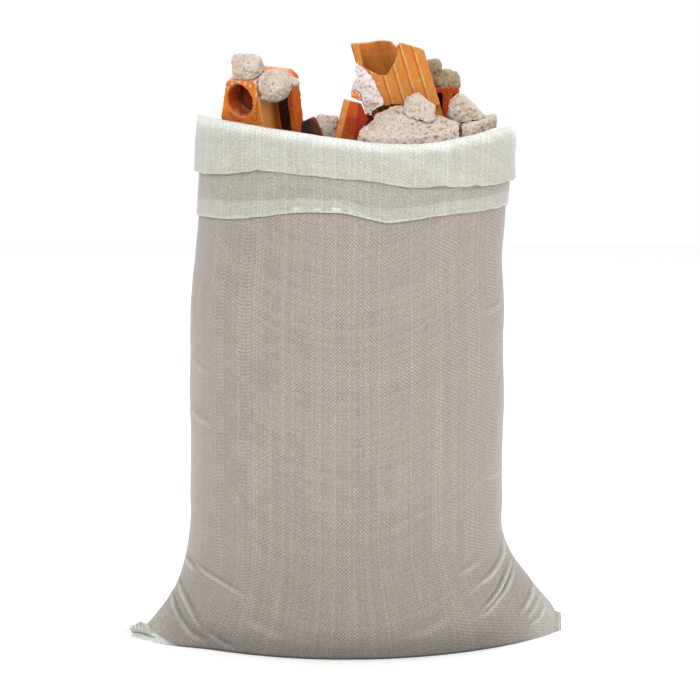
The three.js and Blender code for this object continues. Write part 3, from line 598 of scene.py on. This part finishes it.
def turn_points(angle):
    """Over the rim, down the outer turn, back up inside it, and down to the cut edge."""
    rim = rim_height(angle)
    edge = outer_turn_edge(angle)
    cut = inner_turn_edge(angle)
    flare = 0.5 + 2.8 * np.abs(np.cos(angle)) ** 3
    rows = []

    def add(offset, height):
        rows.append(sack_point(angle, height, offset))

    for turn in np.linspace(0.15, 0.95, 8) * np.pi:  # over the rim
        add(2.7 - 2.9 * np.cos(turn), rim - RIM_ROLL + 2.8 * np.sin(turn))
    for part in np.linspace(0.0, 1.0, 28):  # down the outer turn
        bulge = 0.7 * np.sin(np.pi * part)
        add(5.4 + (flare - 0.4) * part ** 1.5 + bulge, rim - 5 + (edge + 2.2 - rim + 5) * part)
    for turn in np.linspace(0.12, 0.95, 6) * np.pi:  # its lower fold
        add(4.3 + flare + 0.7 * np.cos(turn), edge + 2.0 - 1.6 * np.sin(turn))
    for part in np.linspace(0.08, 1.0, 8):  # up inside
        add(3.7 + flare * (1 - part) ** 1.5 - 0.1 * part, edge + 2.0 + (rim - 9 - edge - 2.0) * part)
    for turn in np.linspace(0.15, 0.95, 5) * np.pi:  # the hidden upper fold
        add(2.6 + 1.0 * np.cos(turn), rim - 9 + 1.0 * np.sin(turn))
    for part in np.linspace(0.05, 1.0, TURN_ROWS - len(rows)):  # down to the cut edge
        belly = 0.8 * np.sin(np.pi * part)
        add(1.5 + belly - 0.4 * part, rim - 9 + (cut - rim + 9) * part)
    return np.array(rows)


def outward(points):
    """Unit normals of a grid of points whose columns close around the sack."""
    around = np.roll(points, -1, axis=1) - np.roll(points, 1, axis=1)
    up = np.gradient(points, axis=0)
    normal = np.cross(around, up)
    length = np.linalg.norm(normal, axis=-1, keepdims=True)
    return normal / np.maximum(length, 1e-9)


def wrinkle(points):
    """Presses the creases and a soft unevenness into the wall, and returns the creases' height."""
    wall = slice(BASE_ROWS, TURNS_START)
    place = points[wall]
    x, y, z = np.moveaxis(place, -1, 0)
    creased = (smooth(-y, 2, 10) * crease_depth(x, z, FRONT_CREASES)
               + smooth(y, 2, 10) * crease_depth(x, z, BACK_CREASES))
    swell = 1.4 * wander(place, 70, 3.7) + 0.5 * wander(place, 26, 8.2)
    calm = smooth(z, 2, 40) * (1 - smooth(z, 505, 570))
    moved = np.clip(creased + swell * calm - 0.6, -4.5, 3.0)
    points[wall] = place + outward(points)[wall] * moved[..., None] * smooth(z, 0, 8)[..., None]
    relief = np.zeros(points.shape[:2])
    relief[wall] = creased
    return relief


def waver_turns(points):
    """Small waves and puckers of the rolled mouth."""
    turns = slice(TURNS_START, None)
    place = points[turns]
    ripples = 1.1 * wander(place, 30, 5.1) + 0.6 * wander(place * (1, 1, 0.35), 11, 1.3)
    row = np.arange(place.shape[0])[:, None]
    on_outer = smooth(row, 4, 16) * (1 - smooth(row, FOLD_ROW + 1, FOLD_ROW + 7))
    reach = on_outer + 0.55 * smooth(row, UNDER_ROW + 1, UNDER_ROW + 11)
    points[turns] = place + outward(points)[turns] * (np.clip(ripples, -0.9, 1.6) * reach)[..., None]
    points[turns, :, 2] += 0.9 * wander(place * (1, 1, 0), 16, 2.2) * smooth(row, 0, 6)


CLOTH_MARKS = ("outer_turn", "under_turn", "folded", "pale", "dark")


def mark_cloth(mesh, points, relief):
    """Says where the cloth is folded and pale, where painted glints light it and painted shade darkens
    it, and which turn each vertex is on.
    """
    row = np.arange(len(points))[:, None] - TURNS_START
    x, y, z = np.moveaxis(points, -1, 0)
    on_wall = row < 0
    folded = smooth(row, -3, 1)
    outer = folded * (1 - smooth(row, FOLD_ROW + 2, FOLD_ROW + 6))
    under = smooth(row, FOLD_ROW, FOLD_ROW + 6)
    pale = 0.85 * bell(row, RIM_ROW, 4.0) + 0.4 * bell(row, FOLD_ROW, 1.5)
    pale = pale + 0.18 * smooth(row, HEM_ROW - 1, HEM_ROW + 1)
    # Painted glints: a broken row of painted highlights just above the cut edge, in two spans across the
    # front.
    wear_and_highlight = smooth(wander(points * (1, 1, 0), 9, 6.6), -0.15, 0.3)
    glint_spans = (y < 0) * np.maximum(bell(x, -48, 17, 4), bell(x, -2, 16, 4))
    pale = pale + 0.9 * bell(row, CUT_ROW - 1.5, 0.9) * wear_and_highlight * glint_spans
    pale = pale + 0.35 * smooth(row, CUT_ROW - 0.5, CUT_ROW + 0.5)
    pale = pale + 0.3 * smooth(np.abs(x), 200, 245) * (1 - smooth(z, 20, 90))
    strip_top = 10 - 8 * smooth(x, -235, -198)
    strip = (y < 0) * smooth(-x, 196, 204) * (1 - smooth(z, strip_top - 1.5, strip_top)) * on_wall
    slit = strip * bell(z, 5, 1.0) * smooth(-x, 225, 230)
    pale = np.clip(pale + 0.75 * strip + 0.28 * np.clip(relief, 0, 2), 0, 1)
    # The dark mark is all painted shade: a contact shadow along the foot, shade in the slit at the left
    # ear, darker towards the floor, and shade in the creases' valleys.
    foot_line = (1 - smooth(z, 1, 4)) * (1 - smooth(np.abs(x), 195, 225))
    low = (1 - smooth(z, 0, 60)) * (1 - 0.75 * smooth(np.abs(x), 150, 235))
    dark = 0.35 * foot_line + 0.6 * slit + 0.38 * low ** 1.6
    dark = dark + 0.10 * (1 - smooth(z, 20, 220)) + 0.16 * np.clip(-relief, 0, 2)
    for name, values in zip(CLOTH_MARKS, (outer, under, folded, pale, dark)):
        set_value(mesh, name, np.broadcast_to(values, relief.shape))


def make_cloth():
    """The sheet as one mesh, with its flat coordinates in metres along and around it."""
    angle = column_angles()
    points = np.concatenate([base_points(angle), wall_points(angle), turn_points(angle)])
    relief = wrinkle(points)
    waver_turns(points)
    steps = np.linalg.norm(np.diff(points, axis=0), axis=-1)
    run = np.concatenate([np.zeros((1, COLUMNS)), np.cumsum(steps, axis=0)])
    ring = points[BASE_ROWS + WALL_ROWS // 2]
    girth = np.concatenate([[0], np.cumsum(np.linalg.norm(np.roll(ring, -1, axis=0) - ring, axis=-1))])
    faces = []
    flats = []
    for row in range(len(points) - 1):
        for column in range(COLUMNS):
            following = (column + 1) % COLUMNS
            corners = ((row, column), (row, following), (row + 1, following), (row + 1, column))
            faces.append([i * COLUMNS + j for i, j in corners])
            for corner, side in zip(corners, (column, column + 1, column + 1, column)):
                flats.append((girth[side] * MM, run[corner] * MM))
    mesh = bpy.data.meshes.new("sack_cloth")
    mesh.from_pydata((points * MM).reshape(-1, 3).tolist(), [], faces)
    layer = mesh.uv_layers.new(name="flat")
    layer.data.foreach_set("uv", np.array(flats, float).ravel())
    mark_cloth(mesh, points, relief)
    return link_piece("sack_cloth", mesh, cloth)


# ---------- mesh helpers


def dress(piece, material, smooth_shaded=True):
    """Gives a piece its one material, and smooth or flat faces."""
    mesh = piece.data
    mesh.materials.clear()
    mesh.materials.append(material)
    mesh.polygons.foreach_set("use_smooth", [smooth_shaded] * len(mesh.polygons))


def link_piece(name, mesh, material, smooth_shaded=True):
    piece = link_object(name, mesh)
    dress(piece, material, smooth_shaded)
    return piece


def finished_mesh(name, made):
    """Turns a mesh in the making into a named mesh."""
    mesh = bpy.data.meshes.new(name)
    made.to_mesh(mesh)
    made.free()
    return mesh


def apply_modifiers(piece):
    """Bakes a piece's modifiers into its mesh."""
    graph = bpy.context.evaluated_depsgraph_get()
    mesh = bpy.data.meshes.new_from_object(piece.evaluated_get(graph))
    piece.modifiers.clear()
    piece.data = mesh
    return piece


def thicken(piece, thickness):
    """Gives a sheet its thickness, on its inner side."""
    modifier = piece.modifiers.new("thickness", "SOLIDIFY")
    modifier.thickness = thickness
    modifier.offset = -1
    return apply_modifiers(piece)


def set_value(mesh, name, values):
    """Sets one number for each vertex, which the materials read by its name."""
    data = mesh.attributes.new(name, "FLOAT", "POINT")
    data.data.foreach_set("value", np.asarray(values, np.float32).ravel())


def mark_plain(mesh, names=("painted_shade", "black", "limy", "edge", "cavity")):
    """Sets every mark that the material reads to 0."""
    for name in names:
        set_value(mesh, name, np.zeros(len(mesh.vertices)))


# ---------- rubble


def fractal(place, size, octaves, seed):
    """Rough noise at a place, both in metres, with features of a given size."""
    return noise.fractal(place / size + Vector((seed, 1.7 * seed, -seed)), 0.6, 2.1, octaves)


def remeshed_copy(name, node, voxel):
    """A fine closed copy of a CAD node."""
    copied = bmesh.new()
    copied.from_mesh(frame["nodes"][node].data)
    piece = link_object(name, finished_mesh(name, copied))
    modifier = piece.modifiers.new("fine", "REMESH")
    modifier.mode = "VOXEL"
    modifier.voxel_size = voxel
    return apply_modifiers(piece)


def read_vectors(source, name):
    values = np.empty(len(source) * 3)
    source.foreach_get(name, values)
    return values.reshape(-1, 3)


def soften(mesh, share):
    """One pass of smoothing: each vertex moves towards the mean of its neighbours."""
    places = read_vectors(mesh.vertices, "co")
    edges = np.empty(len(mesh.edges) * 2, int)
    mesh.edges.foreach_get("vertices", edges)
    edges = edges.reshape(-1, 2)
    total = np.zeros_like(places)
    degree = np.zeros(len(places))
    for one, other in ((0, 1), (1, 0)):
        np.add.at(total, edges[:, one], places[edges[:, other]])
        np.add.at(degree, edges[:, one], 1)
    mean = total / np.maximum(degree, 1)[:, None]
    mesh.vertices.foreach_set("co", (places + (mean - places) * share).ravel())


def mark_wear_and_shade(mesh, reach):
    """Sets edge and cavity: how far each vertex stands out of, or lies in, the softened shape. The mortar
    paints shade into the cavities.
    """
    places = read_vectors(mesh.vertices, "co")
    normals = read_vectors(mesh.vertex_normals, "vector")
    smoothed = mesh.copy()
    for _ in range(6):
        soften(smoothed, 0.7)
    proud = ((places - read_vectors(smoothed.vertices, "co")) * normals).sum(axis=1) / reach
    bpy.data.meshes.remove(smoothed)
    set_value(mesh, "edge", smooth(proud, 0.25, 1.1))
    set_value(mesh, "cavity", smooth(-proud, 0.08, 0.5))


def rubble_piece(node, material, voxel, rough, seed, pits=0.0, axis=None,
                 marks=None, shift=(0, 0, 0)):
    """A detailed piece in place of one CAD node, with its sizes in millimetres.

    rough is the height of its unevenness, and pits the depth of its pits. axis is a brick's
    extrusion direction: faces along it stay fair, and those across it are broken. marks names
    attributes, each with a function of an array of places. shift moves the piece onto the one that
    it rests on.
    """
    marks = marks or {}
    piece = remeshed_copy(node + "_piece", node, voxel * MM)
    mesh = piece.data
    soften(mesh, 0.5)
    places = read_vectors(mesh.vertices, "co")
    normals = read_vectors(mesh.vertex_normals, "vector")
    for name in ("painted_shade", "black", "limy"):
        set_value(mesh, name, marks[name](places) if name in marks else np.zeros(len(places)))
    share = np.ones(len(places))
    if axis is not None:
        share = 0.22 + 0.78 * smooth(np.abs(normals @ np.array(axis)), 0.25, 0.6)
    moved = np.empty(len(places))
    for i, place in enumerate(places):
        place = Vector(place)
        coarse = fractal(place, 12 * MM, 3, seed)
        fine = fractal(place, 3.4 * MM, 2, seed + 5)
        bite = max(0.0, fractal(place, 6.5 * MM, 2, seed + 9) - 0.22)
        blocky = 0.7 * fractal(place, 23 * MM, 2, seed + 3) if axis is None else 0.0
        moved[i] = rough * MM * (blocky + 0.7 * coarse + 0.35 * fine - 0.05) - pits * MM * bite
    places += normals * (moved * share)[:, None]
    places += np.array(shift) * MM
    mesh.vertices.foreach_set("co", places.ravel())
    mesh.update()
    mark_wear_and_shade(mesh, voxel * MM)
    # The edge marks add painted highlights and pale strips to the worn edges.
    if "edge" in marks:
        wear_and_highlight = np.empty(len(places))
        mesh.attributes["edge"].data.foreach_get("value", wear_and_highlight)
        mesh.attributes["edge"].data.foreach_set("value", np.clip(wear_and_highlight + marks["edge"](places), 0, 1))
    dress(piece, material)
    mesh.update()
    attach(piece, body_of[node])
    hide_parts(node)


LEFT_BRICK = (-139.5, -48, 566)  # its corner that its own places start from, in millimetres
LEFT_TURN = math.radians(32)
LEFT_TIP = math.radians(13)
EYE_ACROSS, EYE_UP = 30, 75.5  # middle of its oval cell


def in_left_brick(places):
    """Places in the left brick's own millimetres: across its face, along its cells, and up."""
    x, y, z = (places / MM - LEFT_BRICK).T
    across = x * math.cos(LEFT_TURN) - y * math.sin(LEFT_TURN)
    level = x * math.sin(LEFT_TURN) + y * math.cos(LEFT_TURN)
    along = level * math.cos(LEFT_TIP) + z * math.sin(LEFT_TIP)
    up = -level * math.sin(LEFT_TIP) + z * math.cos(LEFT_TIP)
    return across, along, up


def in_eye(across, up):
    return ((across - EYE_ACROSS) / 19.5) ** 2 + ((up - EYE_UP) / 21.5) ** 2 < 1


# Painted shade in the oval cell, in the second cell and on the web's right side.
def left_brick_shade(places):
    across, along, up = in_left_brick(places)
    eye = in_eye(across, up) * smooth(along, 0.5, 4) * (0.75 + 0.25 * (up < 62))
    cell = (across > 57) * (across < 76) * smooth(along, 27, 33) * (up > 10) * (up < 97)
    web = 0.6 * smooth(across, 76, 77) * smooth(along, 24, 26)
    return np.maximum(eye, np.maximum(cell, web))


# Painted black shadow deep in the oval cell and the second cell.
def left_brick_black(places):
    across, along, up = in_left_brick(places)
    eye = in_eye(across, up) * smooth(along, 8, 30) * (0.45 + 0.5 * (1 - smooth(up, 56, 76)))
    cell = (across > 57.5) * (across < 76.5) * smooth(along, 24, 34) * (up > 10) * (up < 97)
    return np.maximum(eye, cell * 0.97)


def left_brick_limy(places):
    across, along, up = in_left_brick(places)
    top = smooth(up, 84, 95) * (1 - smooth(along, 8, 16)) * (across < 56)
    drips = smooth(wander(places / MM, 5, 4.1), 0.02, 0.25)
    wall = smooth(up, 66, 80) * (across > 52) * (across < 58) * (along < 26)
    return np.clip(0.9 * top * drips + 0.7 * wall * drips, 0, 1)


def left_brick_highlight(places):
    """A painted highlight on the broken wall beside the oval cell."""
    across, along, up = in_left_brick(places)
    wall = smooth(across, 52.5, 55) * (1 - smooth(across, 56.2, 57.5)) * (1 - smooth(along, 26, 28))
    return 0.45 * wall


RIBBED_BRICK = (45.1, -73, 568.4)  # the same corner of the ribbed brick
RIBBED_LEAN = math.radians(16.8)
RIBS = 5
RIB_PITCH = 13.7
LAST_RIB = 66.5  # from the brick's left side


def in_ribbed_brick(places):
    """Places in the ribbed brick's own millimetres: across its face, into it, and up."""
    x, y, z = (places / MM - RIBBED_BRICK).T
    across = x * math.cos(RIBBED_LEAN) + z * math.sin(RIBBED_LEAN)
    up = -x * math.sin(RIBBED_LEAN) + z * math.cos(RIBBED_LEAN)
    return across, y, up


def rib_lines(across, aside, width):
    """One line along each rib, a little aside of its middle."""
    return sum(bell(across, LAST_RIB - rib * RIB_PITCH + aside, width) for rib in range(RIBS))


def rib_lights(places):
    across, into, _ = in_ribbed_brick(places)
    patchy = 0.55 + 0.45 * (wander(places / MM, 9, 2.0) > -0.2)
    return rib_lines(across, 1.7, 0.9) * (into < 1.6) * patchy


def rib_shadows(places):
    across, into, up = in_ribbed_brick(places)
    cell_back = (across > 7) * (across < 31.5) * smooth(into, 18, 34) * (up > 90)
    return np.clip(0.7 * rib_lines(across, -0.4, 1.1) * (into < 3) + 0.12 * cell_back, 0, 1)


# Painted black shadow over the dark chip's left end.
def dark_chip_black(places):
    return 0.9 * (1 - smooth(places[:, 0] / MM, -43, -38))


def chip_limy(places):
    return 0.75 * smooth(wander(places / MM, 4, 3.3), -0.15, 0.2)


def shard_strip(places):
    """The pale strip down the shard's left edge."""
    x, y, z = (places / MM).T
    from_left = (x + 13.7) * 0.969 - (z - 601) * 0.246
    return 0.9 * (1 - smooth(from_left, 6.5, 8.0)) * (y < -96)


def shard_side(places):
    """Painted shade on the shard's right side."""
    x, _, z = (places / MM).T
    return 0.8 * smooth(x - 0.12 * (z - 600), 8.0, 9.5)


def rear_brick_shade(places):
    """Painted shade inside the rear brick's two cells."""
    x, y, _ = (places / MM).T
    left = (x > 101) * (x < 114)
    right = (x > 124.5) * (x < 130)
    return (left | right) * smooth(y, 12, 20)


def add_rubble():
    left_axis = (math.sin(LEFT_TURN) * math.cos(LEFT_TIP), math.cos(LEFT_TURN) * math.cos(LEFT_TIP),
                 math.sin(LEFT_TIP))
    ribbed_axis = (-math.sin(RIBBED_LEAN), 0, math.cos(RIBBED_LEAN))
    rubble_piece("hollow_brick_left", red_clay, 1.2, 1.1, 2.0, axis=left_axis,
                 marks={"painted_shade": left_brick_shade, "black": left_brick_black,
                        "limy": left_brick_limy, "edge": left_brick_highlight})
    rubble_piece("ribbed_brick", tan_clay, 1.1, 1.1, 3.0, axis=ribbed_axis,
                 marks={"edge": rib_lights, "painted_shade": rib_shadows})
    rubble_piece("brick_block_rear", orange_clay, 1.5, 1.4, 4.0, axis=(0, 1, 0),
                 marks={"painted_shade": rear_brick_shade})
    rubble_piece("brick_shard", orange_clay, 1.1, 0.7, 5.0, axis=(0.28, 0, 0.96),
                 marks={"edge": shard_strip, "painted_shade": shard_side})
    rubble_piece("brick_chip_dark", dark_clay, 1.2, 0.9, 6.0, marks={"black": dark_chip_black})
    rubble_piece("brick_chip_on_crust", red_clay, 0.9, 0.9, 7.0, marks={"limy": chip_limy},
                 shift=(3.2, 1.0, 0.5))
    rubble_piece("brick_bat_back", orange_clay, 1.6, 1.6, 8.0)
    rubble_piece("plaster_crust", plaster, 0.8, 1.5, 9.0, pits=2.5)
    lumps = ("lump_left_upper", "lump_left_lower", "chunk", "slab", "lump_on_slab", "block_right",
             "lump_right", "lump_rear", "cobble_back_left", "cobble_back_right", "cobble_side",
             "cobble_back", "cobble_middle", "cobble_right")
    greys = ("lump_rear", "cobble_back_right", "cobble_middle")
    sinks = {"lump_rear": 2.2, "lump_right": 2.0, "lump_on_slab": 1.2}
    for seed, lump in enumerate(lumps, 11):
        rubble_piece("mortar_" + lump, grey_mortar if lump in greys else mortar, 1.2, 2.0, float(seed),
                     pits=4.0 if lump == "slab" else 2.4, shift=(0, 0, -sinks.get(lump, 0)))
    add_cell_plug()
    # A dark clay bit behind the shard: brick, and painted shade of the gap behind it.
    add_lump("brick_bit_behind_shard", "sack", (23, -56, 597), (10, 9, 26), 0.2, shadowed_clay, 0.25)


def add_cell_plug():
    """A dark clay lump deep in the left brick's oval cell, darkened all over with painted shade."""
    along = 33
    level = along * math.cos(LEFT_TIP) - EYE_UP * math.sin(LEFT_TIP)
    rise = along * math.sin(LEFT_TIP) + EYE_UP * math.cos(LEFT_TIP)
    centre = (LEFT_BRICK[0] + EYE_ACROSS * math.cos(LEFT_TURN) + level * math.sin(LEFT_TURN),
              LEFT_BRICK[1] - EYE_ACROSS * math.sin(LEFT_TURN) + level * math.cos(LEFT_TURN),
              LEFT_BRICK[2] + rise)
    piece = add_lump("dark_cell_lump", "left_brick", centre, (17, 8, 19.5), LEFT_TURN, shadowed_clay, 0.1)
    set_value(piece.data, "painted_shade", np.ones(len(piece.data.vertices)))


def turned(place, angle):
    """A place turned about the upright axis."""
    east, north = math.cos(angle), math.sin(angle)
    return Vector((place.x * east - place.y * north, place.x * north + place.y * east, place.z))


def add_lump(name, body, centre, half_sizes, turn, material, roughness):
    """A rounded lump of broken clay, with its sizes in millimetres, turned about the upright."""
    made = bmesh.new()
    bmesh.ops.create_icosphere(made, subdivisions=4, radius=1)
    for vertex in made.verts:
        out = vertex.co.normalized()
        boxy = max(abs(out.x), abs(out.y), abs(out.z)) ** -0.4
        lumpy = boxy * (1 + roughness * noise.noise(out * 3.1) + 0.3 * roughness * noise.noise(out * 11))
        place = out * Vector(half_sizes) * lumpy
        vertex.co = (Vector(centre) + turned(place, -turn)) * MM
    mesh = finished_mesh(name, made)
    mark_plain(mesh)
    piece = link_piece(name, mesh, material)
    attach(piece, body)
    return piece


def crumb(centre, size, seed, target):
    """Adds one angular crumb to a mesh in the making."""
    made = bmesh.ops.create_icosphere(target, subdivisions=1, radius=1.0)
    stretch = Vector((1.0 + 0.5 * noise.random(), 0.7 + 0.5 * noise.random(), 0.5 + 0.4 * noise.random()))
    spin = noise.random() * 6.3
    for vertex in made["verts"]:
        place = vertex.co.copy()
        place *= 0.8 + 0.45 * noise.noise(place * 1.3 + Vector((seed, 0, seed)))
        vertex.co = centre + turned(place * stretch * size, spin)


def add_crumbs():
    """Small broken brick and mortar strewn over the top of the fill, inside the mouth."""
    noise.seed_set(7)
    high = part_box("rubble_fill")[1]
    level = high[2] - 4 * MM
    for name, material, count, size in (("mortar_crumbs", mortar, 420, 5.0 * MM),
                                        ("clay_crumbs", orange_clay, 230, 5.5 * MM)):
        target = bmesh.new()
        for number in range(count):
            angle = noise.random() * 2 * math.pi
            reach = 0.94 * math.sqrt(noise.random())
            scale = size * (0.45 + 0.9 * noise.random() ** 2)
            x = high[0] * 0.80 * reach * math.cos(angle)
            y = high[1] * 0.91 * reach * math.sin(angle)
            crumb(Vector((x, y, level + 2 * MM * noise.random())), scale, number * 0.37, target)
        mesh = finished_mesh(name, target)
        mark_plain(mesh)
        piece = link_piece(name, mesh, material, smooth_shaded=False)
        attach(piece, "sack")


def add_fill():
    """The fill, with a rough top."""
    piece = remeshed_copy("rubble_bed", "rubble_fill", 6 * MM)
    mesh = piece.data
    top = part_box("rubble_fill")[1][2]
    for vertex in mesh.vertices:
        if vertex.co.z > top - 14 * MM:
            vertex.co.z += 2.5 * MM * fractal(vertex.co, 14 * MM, 3, 4.0) - 1.5 * MM
    mark_plain(mesh)
    dress(piece, grey_mortar)
    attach(piece, "sack")
    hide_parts("rubble_fill")


# ---------- hem and stitching


def add_hem():
    """The turned-over strip along the bottom seam, bunched into a knot at the left ear."""
    stations = np.linspace(-HEM_END, HEM_END, 360)
    across = np.linspace(-HEM_WIDTH / 2, HEM_WIDTH / 2, 9)
    top = HEM_THICKNESS / 2 * (1 - 0.35 * (np.abs(across) / (HEM_WIDTH / 2)) ** 4)
    outline = [*zip(across, top), *zip(across[::-1], -top)]
    points = []
    for x, bow, middle, roll in zip(stations, *hem_station(stations)):
        knot = bell(x, -244, 13)
        for aside, up in outline:
            pucker = 0.25 * math.sin(x * 1.05) * (1 if up > 0 else -1) * (1 - abs(aside) / 14)
            ply = noise.noise(Vector(((x + 1.4 * aside) / 7, aside / 9, 3.0 * (up > 0))))
            thick = up * 0.92 + 0.08 * pucker + knot * (up > 0) * (8.0 + 6.0 * ply)
            reach = aside * (1 - 0.25 * knot)
            points.append((x, bow + reach * math.cos(roll) - thick * math.sin(roll),
                           middle + reach * math.sin(roll) + thick * math.cos(roll)))
    size = len(outline)
    faces = []
    for i in range(len(stations) - 1):
        for j in range(size):
            following = (j + 1) % size
            faces.append((i * size + j, i * size + following, (i + 1) * size + following,
                          (i + 1) * size + j))
    faces.append(tuple(range(size))[::-1])
    last = (len(stations) - 1) * size
    faces.append(tuple(range(last, last + size)))
    mesh = bpy.data.meshes.new("bottom_hem_strip")
    mesh.from_pydata((np.array(points) * MM).tolist(), [], faces)
    layer = mesh.uv_layers.new(name="flat")
    for loop in mesh.loops:
        number = loop.vertex_index
        layer.data[loop.index].uv = (stations[number // size] * MM, outline[number % size][0] * MM)
    mark_plain(mesh, CLOTH_MARKS)
    piece = link_piece("bottom_hem_strip", mesh, hem_cloth)
    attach(piece, "sack")
    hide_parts("bottom_hem")
    return piece


def thread_curve(name, points, radius, node):
    data = bpy.data.curves.new(name, "CURVE")
    data.dimensions = "3D"
    data.bevel_depth = radius
    data.bevel_resolution = 2
    data.use_fill_caps = True
    spline = data.splines.new("POLY")
    spline.points.add(len(points) - 1)
    for target, point in zip(spline.points, points):
        target.co = (*point, 1)
    data.materials.append(sewing)
    piece = link_object(name, data)
    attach(piece, "sack")
    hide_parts(node)


def add_stitching():
    """A chain stitch along the hem: a row of small loops on its upper face, and two loose tails."""
    pitch = 6.0
    lift = HEM_THICKNESS / 2 + 0.55
    points = []
    for start in np.arange(-HEM_END + 4, HEM_END - 4, pitch):
        for turn in np.linspace(0, 2 * np.pi, 8, endpoint=False):
            place = start + pitch * (turn / (2 * np.pi)) + 1.4 * math.sin(turn)
            aside = 1.1 * math.sin(turn)
            bow, middle, roll = (float(v) for v in hem_station(np.array(place)))
            points.append((place * MM, (bow + aside * math.cos(roll) - lift * math.sin(roll)) * MM,
                           (middle + aside * math.sin(roll) + lift * math.cos(roll)) * MM))
    thread_curve("hem_stitches", points, 0.45 * MM, "seam_stitching")
    for node, name in (("seam_thread_tail_left", "thread_tail_left"),
                       ("seam_thread_tail_right", "thread_tail_right")):
        low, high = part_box(node)
        near, far = (low, high) if high[0] > 0 else (high, low)
        start = np.array((near[0], high[1], near[2]))
        end = np.array((far[0], low[1], far[2]))
        points = []
        for t in np.linspace(0, 1, 14):
            sway = np.array([0, 0.6 * math.sin(5 * t), 0.8 * math.sin(3 * t)]) * MM * (1 - t)
            points.append(tuple(start + (end - start) * t + sway))
        thread_curve(name, points, 0.5 * MM, node)


# ---------- stage and light


def add_stage():
    mesh = bpy.data.meshes.new("floor")
    half = 6.0  # metres
    mesh.from_pydata([(-half, -half, 0), (half, -half, 0), (half, half, 0), (-half, half, 0)], [],
                     [(0, 1, 2, 3)])
    shader = Shader("pale_floor")
    tone = shader.mix(shader.noise(3, 2, 0.5), (0.95, 0.95, 0.95, 1), (0.97, 0.97, 0.97, 1))
    material = shader.finish(tone, 0.9, specular=0.0)
    floor = link_object("floor", mesh)
    mesh.materials.append(material)


def add_lamp(name, place, aim, size, power):
    data = bpy.data.lights.new(name, "AREA")
    data.shape = "DISK"
    data.size = size
    data.energy = power
    point_at(link_object(name, data), place, aim)


def add_lights():
    world = bpy.data.worlds.new("studio")
    bpy.context.scene.world = world
    world.use_nodes = True
    background = world.node_tree.nodes["Background"]
    background.inputs["Color"].default_value = (1, 1, 1, 1)
    background.inputs["Strength"].default_value = 1.0
    add_lamp("key", (-0.9, -2.6, 2.3), (0, 0, 0.35), 1.0, 34)
    add_lamp("side", (2.2, -1.2, 1.6), (0, 0, 0.35), 1.2, 16)
    add_lamp("back", (0.4, 2.4, 2.6), (0, 0.6, 0.0), 2.5, 60)
    view = bpy.context.scene.view_settings
    view.view_transform = "Standard"
    view.look = "None"


# ---------- assembly

add_camera()
add_stage()
add_lights()
sack_cloth = thicken(make_cloth(), 0.6 * MM)
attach(sack_cloth, "sack")
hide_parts("sack_body", "mouth_outer_turn", "mouth_inner_turn")
hem = add_hem()
add_stitching()
add_fill()
add_crumbs()
add_rubble()
